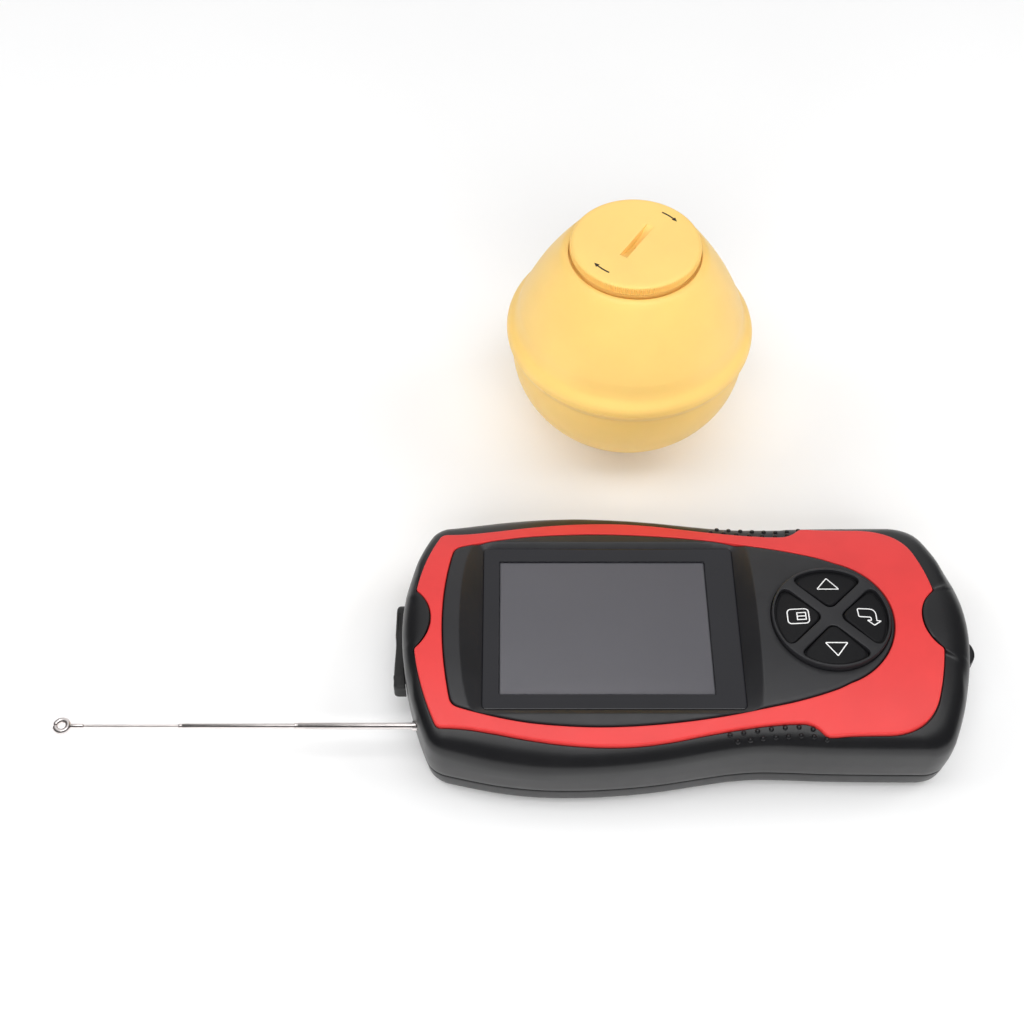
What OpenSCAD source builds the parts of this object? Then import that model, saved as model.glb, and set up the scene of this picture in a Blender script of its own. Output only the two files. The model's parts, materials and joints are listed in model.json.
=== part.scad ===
// Handheld fish finder: a handset with a colour screen, four keys and a telescopic
// aerial, and the round wireless sonar float that it listens to.
// Millimetres. The handset lies on its back with z = 0 on the table. +X runs from
// the aerial end to the keypad end, and +Z points out of the screen.

/* [Handset case] */
// Half width of the case at its widest, beside the screen
case_half = 35.6; // [35:0.1:36]
// Half width of the narrower keypad end
grip_half = 31.4; // [31:0.1:31.8]
// Reach of the aerial end from the origin
case_left = 65; // [64.5:0.1:65.5]
// Reach of the keypad end from the origin
case_right = 67.4; // [67:0.1:68]
// Height of the ridge of the crowned face
face_z = 25; // [24.5:0.1:25.5]
// Thickness of the case walls
wall = 2; // [1.8:0.1:2.2]
// Height of the joint between the back case and the upper case
split_z = 6.2; // [6:0.1:6.4]

/* [Face] */
// Radius of the crown across the face
crown_r = 104; // [100:1:110]
// Half width of the red face ring at its widest
ring_half = 31; // [30.6:0.1:31.2]
// Half width of the opening in the red face ring
panel_half = 27; // [26.6:0.1:27.2]
// Thickness of the face ring and the screen bezel
ring_t = 1.6; // [1.4:0.1:1.8]

/* [Screen] */
// Width of the active screen area along X
screen_w = 48.96; // [48:0.1:50]
// Height of the active screen area along Y
screen_h = 36.72; // [36:0.1:38]
// Width of the screen lens along X
lens_w = 60.1; // [59:0.1:61]
// Height of the screen lens along Y
lens_h = 44.9; // [44:0.1:45.2]
// Height of the lens's outer face above the table
lens_z = 21.5; // [21.3:0.1:21.7]

/* [Keypad] */
// Distance of the keypad centre from the origin
pad_x = 35; // [34:0.5:36]
// Radius of the raised keypad disc
pad_r = 14; // [13.8:0.1:14.5]
// Radius of the four keys together
key_r = 12.95; // [12.6:0.05:13]
// Width of the cross between the keys
key_web = 3; // [2.8:0.1:3.4]
// Height of the key tops above the table
key_z = 26; // [25.8:0.1:26.4]
// Travel of a key
key_travel = 0.6; // [0.4:0.1:0.6]

/* [Aerial] */
// Outer diameters of the two sliding tubes and the rod
aerial_d = [1.5, 1.14, 0.68];
// Length of each section that shows when the aerial is drawn out
aerial_show = [27.3, 26.6, 21.8];
// Length of each section that stays inside the one before it
aerial_lap = 7; // [6:0.5:8]
// Distance of the aerial from the handset's centre line
aerial_y = -21.6; // [-22:0.1:-21]
// Height of the aerial above the table
aerial_z = 12.5; // [12:0.1:12.7]
// Outer diameter of the ring at the tip
tip_d = 4.3; // [4:0.1:4.6]

/* [Sonar float] */
// Place of the float's axis on the table
float_at = [-8.4, 88];
// Radius of the float at its rim
float_r = 32.2; // [32:0.1:32.4]
// Height of the float's top face, under the battery cap
float_top = 57.8; // [57.5:0.1:58]
// Height of the joint between the two shells
float_split = 31.7; // [31.5:0.1:32]
// Radius of the battery cap
cap_r = 16.5; // [16:0.1:17]
// Height of the top of the battery cap
cap_z = 61.2; // [61:0.1:61.5]
// Radius of the battery cap's threaded stem
stem_r = 12.4; // [12.2:0.1:12.6]

/* [Hidden] */
$fn = 96;
FAR = 240;          // facets of the large arcs
GAP = 0.3;          // running gap between pieces that move past each other
EPS = 0.01;
side_r = 125;       // arc of the case's side, beside the screen
side_x = -26;       // where that side is widest
waist_r = 120;      // shallow scoop behind the grips
waist_x = 17;
waist_half = grip_half - 0.7;
left_r = 70;        // arc of the aerial end
right_r = 68;       // arc of the keypad end
under = 1.8;        // thickness of the bottom plate, and inset of its chamfer
shoulder = 0.8;     // inset of the shoulder above the fuller lower wall
// Steps of the rounded shoulder: inset from the outline, drop below the crown
shoulder_steps = [[shoulder, 2.2], [2, 1.1], [3.3, 0.4]];
neck_z = [14, 16.5];
seam = [0.7, 1.4, 0.3];   // gasket: outer inset, inner inset, half height
thumb_left = [-case_left - 4.2, 11];
thumb_right = [case_right - 0.6, 10.5];
screen_x = -17.55;
lens_x = -16.05;
lens_t = 1.2;
ledge_z = lens_z - lens_t - 0.9;
lcd = [60.2, 42.6, 2.6];
board_z = 14.4;
board_t = 1.2;
opening = [[-50.3, 17.3], 23.7];   // hole in the case's top for the bezel's tub
screws = [[-46, 28.4], [0, 28], [54, 26.2]];
cell_d = 10.4;
cell_l = 44.5;
cell_x = 4.2;
cell_z = 7.6;
cell_pitch = 10.6;
door_x = 3;
door_half = 22;
door_tongue = 1.2;
jack = [-7.1, 9.5];        // socket axis: Y, Z
hinge = [-66.1, 2.1];      // bend of the port cover's strap: X, Y
hinge_clear = 1.45;        // room round the bend for the free half's end
cover_z = [7, 12];         // foot and head of the strap
lug_r = 4.4;
lug_z = [7.2, 10.2];
lug_hole = [69.1, 1.25];
aerial_x = -62.2;           // mouth of the aerial's base tube
tip_wire = 0.66;           // radius of the tip ring's wire
tip_slit = 0.6;            // slit in the tip ring's outer side
collar_l = 3;              // length of the collar behind the ring
slide_fit = 0.04;
dome = [-64, -2.7, 102];   // arc of the float's upper shell: R, Z, radius
bowl = [2.4, 27.1, 28.7];  // arc of the float's lower shell
rim = 3;                   // radius of the float's rounded rim
shell = 2.2;
flange_z = float_top + 0.6;
seal_r = 0.98;
stem_foot = 51.4;

RED = [0.94, 0.33, 0.31];
BLACK = [0.17, 0.17, 0.18];
PANEL = [0.24, 0.24, 0.26];
KEY = [0.1, 0.1, 0.11];
STEEL = [0.75, 0.73, 0.72];
YELLOW = [1, 0.84, 0.47];
GREEN = [0.1, 0.4, 0.2];

// ---------- shared shapes ----------

module post(x, y, r0, r1, h) {
    translate([x, y, 0]) cylinder(r1 = r0, r2 = r1, h = h, $fn = FAR);
}

// A slice of the case's outline from z0 to z1, inset by d0 at its foot and d1 at its head.
module band(z0, z1, d0, d1) {
    h = z1 - z0;
    translate([0, 0, z0]) difference() {
        intersection() {
            union() {
                intersection() {
                    intersection_for(s = [-1, 1])
                        post(side_x, s * (side_r - case_half), side_r - d0, side_r - d1, h);
                    translate([-70, -40, 0]) cube([90, 80, h]);
                }
                rotate([90, 0, 90]) linear_extrude(72) polygon([
                    [-grip_half + d0, 0], [grip_half - d0, 0],
                    [grip_half - d1, h], [-grip_half + d1, h]
                ]);
            }
            post(left_r - case_left, 0, left_r - d0, left_r - d1, h);
            post(case_right - right_r, 0, right_r - d0, right_r - d1, h);
        }
        for (s = [-1, 1])
            translate([0, 0, -EPS])
                post(waist_x, s * (waist_half + waist_r), waist_r + d0, waist_r + d1, h + 2 * EPS);
    }
}

// Everything under the crowned face, lowered by drop.
module crown(drop) {
    r = crown_r - drop;
    translate([-80, 0, face_z - crown_r]) rotate([0, 90, 0]) cylinder(r = r, h = 160, $fn = FAR);
}

// Outer outline of the face ring, grown by g, with a notch for the thumb bump at each end.
module ring_outline(g) {
    difference() {
        intersection() {
            union() {
                intersection() {
                    intersection_for(s = [-1, 1])
                        translate([-19, s * (128 - ring_half)]) circle(128 + g, $fn = FAR);
                    translate([-70, -40]) square([99.5, 80]);
                }
                translate([28, -28.5 - g]) square([18, 57 + 2 * g]);
                for (s = [-1, 1])
                    translate([46, s * 17.5]) circle(11 + g);
                translate([40, -17.5]) square([17 + g, 35]);
            }
            translate([62 - 62.3, 0]) circle(62 + g, $fn = FAR);
            translate([60.6 - 66, 0]) circle(66 + g, $fn = FAR);
        }
        translate([thumb_left[0], 0]) circle(thumb_left[1] - g);
        translate([thumb_right[0], 0]) circle(thumb_right[1] - g);
    }
}

// Outline of the dark panel inside the ring: a long lens that ends round the keypad.
module panel_outline(g) {
    intersection() {
        intersection_for(s = [-1, 1])
            translate([-18, s * (150 - panel_half)]) circle(150 + g, $fn = FAR);
        translate([100 - 55.6, 0]) circle(100 + g, $fn = FAR);
        union() {
            translate([-70, -40]) square([104, 80]);
            translate([32, 0]) circle(17.8 + g);
        }
    }
}

// One quadrant of the keypad, pointing along +X, grown by g.
module key_outline(g) {
    intersection() {
        circle(key_r + g);
        translate([(key_web / 2 - g) * sqrt(2), 0]) rotate(-45) square(2 * key_r);
    }
}

module each_screw(x_min = -100) {
    for (p = screws, s = [-1, 1])
        if (p[0] > x_min) translate([p[0], s * p[1], 0]) children();
}

module gasket_ring(grow) {
    difference() {
        band(split_z - seam[2], split_z + seam[2], seam[0] - grow, seam[0] - grow);
        translate([0, 0, -EPS])
            band(split_z - 1, split_z + 1, seam[1] + grow, seam[1] + grow);
    }
}

module along_x(x, y, z, r, h) {
    translate([x, y, z]) rotate([0, 90, 0]) cylinder(r = r, h = h);
}

// ---------- handset shells ----------

module back_case() {
    color(BLACK) difference() {
        union() {
            difference() {
                union() {
                    band(0, under, under, 0);
                    band(under, split_z, 0, 0);
                }
                band(under, split_z + 1, wall, wall);
            }
            // Rails that hold the battery door's tongues
            for (s = [-1, 1])
                translate([door_x - 2, s * 23.4 - 1.4, 0.9]) cube([55, 2.8, 2.5]);
            // Frame round the four cells
            difference() {
                translate([0, -23.6, 0.9]) cube([54.5, 47.2, 11]);
                translate([1.2, -22.4, 0]) cube([52.1, 44.8, 14]);
            }
            each_screw() cylinder(r = 3, h = split_z);
        }
        // Slot that the battery door slides out of
        translate([door_x, -door_half - GAP, -1]) cube([80, 2 * (door_half + GAP), 3.1]);
        translate([door_x, -door_half - door_tongue - GAP, 0.6])
            cube([80, 2 * (door_half + door_tongue + GAP), 1.5]);
        each_screw() {
            translate([0, 0, -1]) cylinder(r = 2.3, h = 3.1);
            translate([0, 0, -1]) cylinder(r = 1.2, h = 8);
        }
        gasket_ring(0.05);
    }
}

module upper_case() {
    color(BLACK) difference() {
        union() {
            difference() {
                union() {
                    band(split_z, neck_z[0], 0, 0);
                    band(neck_z[0], neck_z[1], 0, shoulder);
                    for (k = shoulder_steps)
                        intersection() {
                            band(neck_z[1], face_z, k[0], k[0]);
                            crown(k[1]);
                        }
                }
                intersection() {
                    band(split_z - 1, face_z, wall, wall);
                    crown(2 * ring_t);
                }
                // Pocket for the face ring and the bezel
                difference() {
                    translate([0, 0, 12]) linear_extrude(20) ring_outline(0.15);
                    crown(ring_t);
                }
            }
            thumb_bump(thumb_left);
            thumb_bump(thumb_right);
            // Screw bosses down to the back case
            intersection() {
                each_screw() translate([0, 0, split_z]) cylinder(r = 2.4, h = 20);
                crown(2 * ring_t - 0.4);
            }
            lanyard_lug();
        }
        each_screw() translate([0, 0, split_z - 1]) cylinder(r = 0.9, h = 10);
        translate([opening[0][0], -opening[1], 15])
            cube([opening[0][1] - opening[0][0], 2 * opening[1], 12]);
        translate([pad_x, 0, 15]) cylinder(r = 13.4, h = 12);
        along_x(-66, aerial_y, aerial_z, 1.15, 8);
        along_x(-68, jack[0], jack[1], 2.2, 8);
        along_x(-68, 7.9, jack[1], 2.05, 8);
        gasket_ring(0.05);
    }
}

// Round bump at the middle of an end, level with the face ring.
module thumb_bump(place) {
    intersection() {
        band(neck_z[1] - 1, face_z + 1, shoulder, shoulder);
        translate([place[0], 0, neck_z[1] - 1]) cylinder(r = place[1] - 0.15, h = 20);
        crown(-0.2);
        translate([place[0] > 0 ? 55 : -66, -12, 0]) cube([12, 24, 40]);
    }
}

module lanyard_lug() {
    translate([0, 0, lug_z[0]]) difference() {
        intersection() {
            translate([case_right, 0, 0]) cylinder(r = lug_r, h = lug_z[1] - lug_z[0]);
            translate([case_right - 1.2, -10, 0]) cube([10, 20, 5]);
        }
        translate([lug_hole[0], 0, -1]) cylinder(r = lug_hole[1], h = 6);
    }
}

module case_gasket() {
    color("dimgray") gasket_ring(0);
}

module case_screws() {
    color(STEEL) each_screw() difference() {
        union() {
            translate([0, 0, 0.8]) cylinder(r = 2, h = 1.3);
            translate([0, 0, 2]) cylinder(r = 1, h = 9);
        }
        for (a = [0, 90])
            rotate(a) translate([-1.2, -0.25, 0]) cube([2.4, 0.5, 1.4]);
    }
}

module face_ring() {
    color(RED) difference() {
        intersection() {
            translate([0, 0, 12]) linear_extrude(20) ring_outline(0);
            crown(0);
        }
        crown(ring_t - 0.02);
        translate([0, 0, 11]) linear_extrude(22) panel_outline(0);
    }
}

module screen_bezel() {
    tub = [[opening[0][0] + GAP, opening[0][1] - GAP], opening[1] - GAP];
    color(PANEL) difference() {
        union() {
            difference() {
                intersection() {
                    translate([0, 0, 12]) linear_extrude(20) panel_outline(-0.15);
                    crown(0);
                }
                crown(ring_t - 0.02);
            }
            intersection() {
                translate([tub[0][0], -tub[1], ledge_z])
                    cube([tub[0][1] - tub[0][0], 2 * tub[1], 10]);
                translate([0, 0, 12]) linear_extrude(20) panel_outline(-0.15);
                crown(0);
            }
            translate([pad_x, 0, face_z - 1.5]) cylinder(r = pad_r, h = key_z - face_z + 0.9);
        }
        // Sloped recess down to the lens
        hull() {
            translate([lens_x - lens_w / 2 - 0.1, -lens_h / 2 - 0.1, lens_z - 0.1])
                cube([lens_w + 0.2, lens_h + 0.2, EPS]);
            translate([-52.3, -29.8, 25.5]) cube([70.9, 59.6, EPS]);
        }
        // Seat of the lens, and the window under it
        translate([lens_x - lens_w / 2 - 0.1, -lens_h / 2 - 0.1, lens_z - lens_t])
            cube([lens_w + 0.2, lens_h + 0.2, 10]);
        translate([screen_x - screen_w / 2 - 1, -screen_h / 2 - 1, 15])
            cube([screen_w + 2, screen_h + 2, 10]);
        for (a = [0:90:270])
            translate([pad_x, 0, 15]) rotate(a) linear_extrude(20) key_outline(0.25);
    }
}

module screen_lens() {
    color([0.2, 0.2, 0.22, 0.6])
        translate([lens_x - lens_w / 2, -lens_h / 2, lens_z - lens_t]) cube([lens_w, lens_h, lens_t]);
}

// ---------- electronics ----------

module lcd_module() {
    color([0.42, 0.42, 0.44])
        translate([-47, -lcd[1] / 2, ledge_z - 0.1 - lcd[2]]) cube(lcd);
}

module display_flex() {
    top = ledge_z - 0.1 - lcd[2] + 0.6;
    color("darkgoldenrod") rotate([90, 0, 0]) translate([0, 0, -8]) linear_extrude(16)
        difference() {
            translate([lcd[0] - 47, board_z + board_t]) square([2, top - board_z - board_t]);
            translate([lcd[0] - 47.1, board_z + board_t + 0.2])
                square([1.9, top - board_z - board_t - 0.4]);
        }
}

module main_board() {
    color(GREEN) difference() {
        translate([-55, -24.8, board_z]) cube([106, 49.6, board_t]);
        for (x = [-51, 47], s = [-1, 1])
            translate([x, s * 21, board_z - 1]) cylinder(r = 1.1, h = 4);
    }
}

module board_chips() {
    color([0.12, 0.12, 0.12]) {
        translate([-20, -6, board_z - 1.2]) cube([12, 12, 1.2]);
        translate([-20, 10, board_z - 1]) cube([8, 5, 1]);
        translate([-4, -20, board_z - 0.9]) cube([5, 6, 0.9]);
    }
}

module radio_module() {
    color("silver") translate([-48, -14, board_z - 2.2]) cube([18, 13, 2.2]);
}

module buzzer() {
    color([0.1, 0.1, 0.1]) translate([-38, 14, board_z - 4]) difference() {
        cylinder(r = 4.6, h = 4);
        translate([0, 0, -1]) cylinder(r = 0.8, h = 2);
    }
}

module key_membrane() {
    color([0.55, 0.55, 0.55]) translate([pad_x, 0, board_z + board_t]) {
        translate([-14.5, -14.5, 0]) cube([29, 29, 1.5]);
        for (a = [0:90:270])
            rotate(a) translate([8, 0, 0]) cylinder(r1 = 4, r2 = 2.2, h = 2.6);
    }
}

// One key: a domed cap through the bezel and a flange that keeps it in.
module key(angle) {
    flange_z = board_z + board_t + 3.3;
    color(KEY) translate([pad_x, 0, 0]) rotate(angle) intersection() {
        union() {
            translate([0, 0, flange_z]) linear_extrude(1.2) key_outline(0.7);
            translate([0, 0, flange_z]) linear_extrude(key_z - flange_z)
                offset(r = 1.2, $fn = 24) offset(delta = -1.2) key_outline(0);
        }
        translate([0, 0, key_z - 90]) sphere(90, $fn = FAR);
    }
}

module key_up() { key(90); }
module key_down() { key(-90); }
module key_menu() { key(180); }
module key_enter() { key(0); }

// ---------- power ----------

function cell_y(i) = (i - 1.5) * cell_pitch;

// A cell; odd ones lie the other way round.
module battery_cell(i) {
    flip = i % 2;
    color("slategray") translate([cell_x + cell_l / 2, cell_y(i), cell_z])
        rotate([0, flip ? -90 : 90, 0]) translate([0, 0, -cell_l / 2]) {
            cylinder(d = cell_d, h = cell_l - 1);
            cylinder(d = 3.8, h = cell_l);
        }
}

module battery_cell_1() { battery_cell(0); }
module battery_cell_2() { battery_cell(1); }
module battery_cell_3() { battery_cell(2); }
module battery_cell_4() { battery_cell(3); }

// Plates at both ends of each cell, with a coil spring behind each flat end.
module battery_contacts() {
    far_x = cell_x + cell_l;
    color(STEEL) for (i = [0:3]) {
        flat_left = i % 2 == 0;
        translate([1.3, cell_y(i) - 4, cell_z - 4]) cube([flat_left ? 0.4 : 2.85, 8, 8]);
        translate([flat_left ? far_x + 0.05 : 52.7, cell_y(i) - 4, cell_z - 4])
            cube([flat_left ? 53.1 - far_x : 0.4, 8, 8]);
        for (k = [0:2])
            translate([flat_left ? 2.05 + 0.7 * k : 52.35 - 0.7 * k - 0.05, cell_y(i), cell_z])
                rotate([0, 90, 0]) rotate_extrude() translate([3 - 0.4 * k, 0]) circle(0.4, $fn = 20);
    }
}

module battery_door() {
    color(BLACK) difference() {
        intersection() {
            band(0, under, under, 0);
            union() {
                translate([door_x + GAP, -door_half, -1]) cube([80, 2 * door_half, 4]);
                translate([door_x + GAP, -door_half - door_tongue, 0.9])
                    cube([54, 2 * (door_half + door_tongue), 0.9]);
            }
        }
        // Finger grooves
        for (k = [0:4])
            translate([10 + 2.2 * k, -7, -EPS]) cube([1.1, 14, 0.5]);
    }
}

// ---------- end fittings ----------

module port_jack() {
    color([0.15, 0.15, 0.15]) difference() {
        translate([-61.9, jack[0] - 3, jack[1] - 3]) cube([12, 6, board_z - jack[1] + 3]);
        along_x(-63, jack[0], jack[1], 1.75, 10);
    }
}

// The held half of the rubber strap: an oval tab on a stud through the end wall.
module cover_strap() {
    mid_z = (cover_z[0] + cover_z[1]) / 2;
    half_z = (cover_z[1] - cover_z[0]) / 2;
    color(BLACK) difference() {
        union() {
            along_x(hinge[0] - 0.9, 10.4, mid_z, half_z, 1.8);
            translate([hinge[0] - 0.9, hinge[1], cover_z[0]]) cube([1.8, 8.3, 2 * half_z]);
            translate([hinge[0], hinge[1], cover_z[0]]) cylinder(r = 0.9, h = 2 * half_z);
            along_x(hinge[0], 7.9, mid_z, 2, 4.6);
        }
        along_x(hinge[0] - 2, 10.2, mid_z, 1.4, 1.8);
        translate([hinge[0] - 2, 5.8, mid_z - 1.4]) cube([1.8, 4.4, 2.8]);
        along_x(hinge[0] - 2, 5.8, mid_z, 1.4, 1.8);
    }
}

// The free half: a thin neck, the block over the socket and its short stem.
module port_cover() {
    mid_z = (cover_z[0] + cover_z[1]) / 2;
    color(BLACK) difference() {
        union() {
            translate([hinge[0] - 0.9, -6, cover_z[0] + 0.4]) cube([1.6, 8.1, 4.2]);
            translate([-67.2, -10.9, cover_z[0]]) cube([3.7, 7, 5]);
            along_x(-66, jack[0], mid_z, 1.3, 3.1);
        }
        difference() {
            post(left_r - case_left, 0, left_r + GAP, left_r + GAP, 30);
            along_x(-66, jack[0], mid_z, 1.3, 4);
        }
        translate([hinge[0], hinge[1], 0]) cylinder(r = hinge_clear, h = 30);
    }
}

// ---------- aerial ----------

// Where section i starts inside the one before it, and its whole length.
function aerial_start(i) = i == 0 ? aerial_x + aerial_lap
    : aerial_start(i - 1) - aerial_lap - aerial_show[i - 1] + aerial_lap;
function aerial_len(i) = aerial_show[i] + aerial_lap;

module aerial_section(i) {
    r = aerial_d[i] / 2;
    x = aerial_start(i) - aerial_len(i);
    difference() {
        along_x(x, aerial_y, aerial_z, r, aerial_len(i));
        if (i < 2)
            along_x(x - 1, aerial_y, aerial_z, aerial_d[i + 1] / 2 + slide_fit, aerial_len(i) + 2);
    }
}

module aerial_base() {
    r = aerial_d[0] / 2 + slide_fit;
    color(STEEL) difference() {
        along_x(aerial_x, aerial_y, aerial_z, 1.1, aerial_len(0) + 3);
        along_x(aerial_x - 1, aerial_y, aerial_z, r, aerial_len(0) + 3);
    }
}

module aerial_clip() {
    color("goldenrod") difference() {
        translate([-40, aerial_y - 1.9, aerial_z - 1.7]) cube([6, 3.8, board_z - aerial_z + 1.7]);
        along_x(-41, aerial_y, aerial_z, 1.1, 8);
    }
}

module aerial_tube_1() { color(STEEL) aerial_section(0); }
module aerial_tube_2() { color(STEEL) aerial_section(1); }
module aerial_rod() { color(STEEL) aerial_section(2); }

// Open ring on a short collar.
module aerial_tip() {
    x = aerial_start(2) - aerial_len(2);
    color(STEEL) translate([x - collar_l, aerial_y, aerial_z]) {
        translate([-0.5, 0, 0]) rotate([0, 90, 0]) cylinder(r = 0.55, h = collar_l + 0.5);
        translate([-tip_d / 2, 0, 0]) difference() {
            rotate_extrude() translate([tip_d / 2 - tip_wire, 0]) circle(tip_wire, $fn = 32);
            translate([-tip_d / 2 - 1, -tip_slit / 2, -2]) cube([tip_d / 2 + 1, tip_slit, 4]);
        }
    }
}

// ---------- sonar float ----------

module on_float() {
    translate([float_at[0], float_at[1], 0]) children();
}

// Half section of a shell between two heights: an arc, thickened inwards by the wall.
module shell_section(arc, z0, z1, floor_z, roof_z) {
    difference() {
        intersection() {
            union() {
                translate([arc[0], arc[1]]) circle(arc[2], $fn = FAR);
                translate([float_r - rim, float_split]) circle(rim);
            }
            translate([0, z0]) square([40, z1 - z0]);
        }
        intersection() {
            translate([arc[0], arc[1]]) circle(arc[2] - shell, $fn = FAR);
            translate([0, floor_z]) square([40, roof_z - floor_z]);
        }
    }
}

module float_upper_shell() {
    color(YELLOW) on_float() difference() {
        rotate_extrude($fn = FAR) {
            shell_section(dome, float_split, float_top, 0, float_top - shell);
            // Neck that the cap screws into
            translate([0, 48]) square([15.4, 8]);
        }
        translate([0, 0, 40]) cylinder(r = stem_r + 0.08, h = 30);
        translate([0, 0, float_top - 1.4]) cylinder(r = 14.7, h = 5);
    }
}

module float_lower_shell() {
    color(YELLOW) on_float() difference() {
        rotate_extrude($fn = FAR) shell_section(bowl, 0, float_split, shell, 40);
        for (s = [-1, 1])
            translate([s * 10, 0, -1]) cylinder(r = 0.9, h = 5);
    }
}

// Outline with n teeth of the given depth round its edge.
function knurl(r, n, depth) =
    [for (k = [0 : 2 * n - 1]) (r - (k % 2) * depth) * [cos(k * 180 / n), sin(k * 180 / n)]];

module float_cap() {
    color(YELLOW) on_float() difference() {
        union() {
            translate([0, 0, flange_z]) linear_extrude(cap_z - flange_z - 0.5)
                polygon(knurl(cap_r, 72, 0.3));
            translate([0, 0, cap_z - 0.5]) cylinder(r1 = cap_r - 0.3, r2 = cap_r - 0.7, h = 0.5);
            translate([0, 0, stem_foot]) cylinder(r = stem_r, h = flange_z - stem_foot + EPS);
        }
        // Coin slot
        rotate(53) translate([-7.5, -1, cap_z - 1.4]) cube([15, 2, 3]);
        translate([0, 0, stem_foot - 1]) cylinder(r = 10.6, h = 2.6);
    }
}

module cap_seal() {
    color("dimgray") on_float() translate([0, 0, float_top - 0.4])
        rotate_extrude() translate([stem_r + 0.1 + seal_r, 0]) circle(seal_r, $fn = 32);
}

module float_cell() {
    color("silver") on_float() {
        translate([0, 0, 46.6]) cylinder(r = 8.5, h = 0.3);
        translate([0, 0, 46.9]) cylinder(r = 10, h = 2.9);
    }
}

module cell_holder() {
    color(PANEL) on_float() difference() {
        translate([0, 0, 44.4]) cylinder(r = 15.4, h = 3.6);
        translate([0, 0, 45.8]) cylinder(r = 10.3, h = 5);
        translate([0, 0, 44]) cylinder(r = 2, h = 5);
    }
}

// Spring disc under the cell and a pin down to the board.
module cell_contacts() {
    color("gold") on_float() {
        translate([0, 0, 45.8]) cylinder(r = 6, h = 0.3);
        translate([0, 0, 41.6]) cylinder(r = 0.8, h = 4.3);
        translate([0, 0, 46.1]) cylinder(r1 = 4, r2 = 2, h = 0.5);
    }
}

module float_board() {
    color(GREEN) on_float() translate([0, 0, 40.4]) difference() {
        cylinder(r = 23, h = 1.2);
        for (a = [30:120:270])
            rotate(a) translate([20, 0, -1]) cylinder(r = 1.1, h = 4);
    }
}

module float_aerial() {
    color("goldenrod") on_float() translate([17.4, 0, 41.6]) {
        cylinder(r = 0.5, h = 9);
        translate([0, 0, 9]) sphere(0.9, $fn = 32);
    }
}

module transducer() {
    color([0.85, 0.83, 0.75]) on_float() translate([0, 0, shell]) cylinder(r = 8, h = 3);
}

module transducer_potting() {
    color([0.2, 0.2, 0.2]) on_float() difference() {
        translate([0, 0, shell]) cylinder(r = 8.9, h = 7);
        translate([0, 0, shell - 1]) cylinder(r = 8, h = 4);
    }
}

module ballast_ring() {
    color("gray") on_float() translate([0, 0, 9.6]) difference() {
        cylinder(r = 20.5, h = 4.6);
        translate([0, 0, -1]) cylinder(r = 12.5, h = 8);
    }
}

// Two metal pins that sense the water and switch the float on.
module water_contacts() {
    color(STEEL) on_float() for (s = [-1, 1])
        translate([s * 10, 0, 0.1]) cylinder(r = 0.9, h = 8);
}

back_case();
upper_case();
case_gasket();
case_screws();
face_ring();
screen_bezel();
screen_lens();
lcd_module();
display_flex();
main_board();
board_chips();
radio_module();
buzzer();
key_membrane();
key_up();
key_down();
key_menu();
key_enter();
battery_cell_1();
battery_cell_2();
battery_cell_3();
battery_cell_4();
battery_contacts();
battery_door();
port_jack();
cover_strap();
port_cover();
aerial_base();
aerial_clip();
aerial_tube_1();
aerial_tube_2();
aerial_rod();
aerial_tip();
float_upper_shell();
float_lower_shell();
float_cap();
cap_seal();
float_cell();
cell_holder();
cell_contacts();
float_board();
float_aerial();
transducer();
transducer_potting();
ballast_ring();
water_contacts();
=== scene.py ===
"""Looks of the fish finder, built round its CAD frame.

Places and sizes are millimetres in the frame's axes until a mesh is made. The handset lies
on its back along X with its screen up, and the sonar float stands behind it.
"""

import functools
import json
import math

import bmesh
import bpy
import numpy as np
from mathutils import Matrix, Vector
from mathutils.geometry import delaunay_2d_cdt


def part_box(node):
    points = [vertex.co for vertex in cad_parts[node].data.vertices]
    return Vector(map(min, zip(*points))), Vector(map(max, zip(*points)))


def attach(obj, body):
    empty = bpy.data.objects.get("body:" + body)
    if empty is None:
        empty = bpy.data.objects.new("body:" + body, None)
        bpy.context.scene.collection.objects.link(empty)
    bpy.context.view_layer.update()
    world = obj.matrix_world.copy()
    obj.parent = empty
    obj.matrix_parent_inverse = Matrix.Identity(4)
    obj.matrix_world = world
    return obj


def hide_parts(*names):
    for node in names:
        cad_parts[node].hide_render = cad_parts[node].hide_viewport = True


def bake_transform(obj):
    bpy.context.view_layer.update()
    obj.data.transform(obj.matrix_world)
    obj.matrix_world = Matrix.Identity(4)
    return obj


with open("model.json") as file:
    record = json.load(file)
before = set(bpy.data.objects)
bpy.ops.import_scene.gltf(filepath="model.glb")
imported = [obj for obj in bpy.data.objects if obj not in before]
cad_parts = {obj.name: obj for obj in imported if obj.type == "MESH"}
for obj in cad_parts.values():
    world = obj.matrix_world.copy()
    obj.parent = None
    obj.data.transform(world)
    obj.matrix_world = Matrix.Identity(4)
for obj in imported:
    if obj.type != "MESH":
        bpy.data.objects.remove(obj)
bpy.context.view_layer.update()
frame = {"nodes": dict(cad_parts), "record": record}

MM = 0.001


def span(node):
    """Lowest and highest corner of a CAD node, in millimetres."""
    low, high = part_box(node)
    return low / MM, high / MM


def middle(node):
    low, high = span(node)
    return (low + high) / 2


def put(name, data):
    """A new object in the scene."""
    obj = bpy.data.objects.new(name, data)
    bpy.context.scene.collection.objects.link(obj)
    return obj


# ---------- camera and studio ----------

# Solved from the corners of the screen: metres, degrees, and millimetres on a 36 mm sensor
CAMERA_PLACE = (-0.03925, -0.2042, 0.3294)
CAMERA_TILT = 37.7
CAMERA_LENS = 55.27


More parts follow.
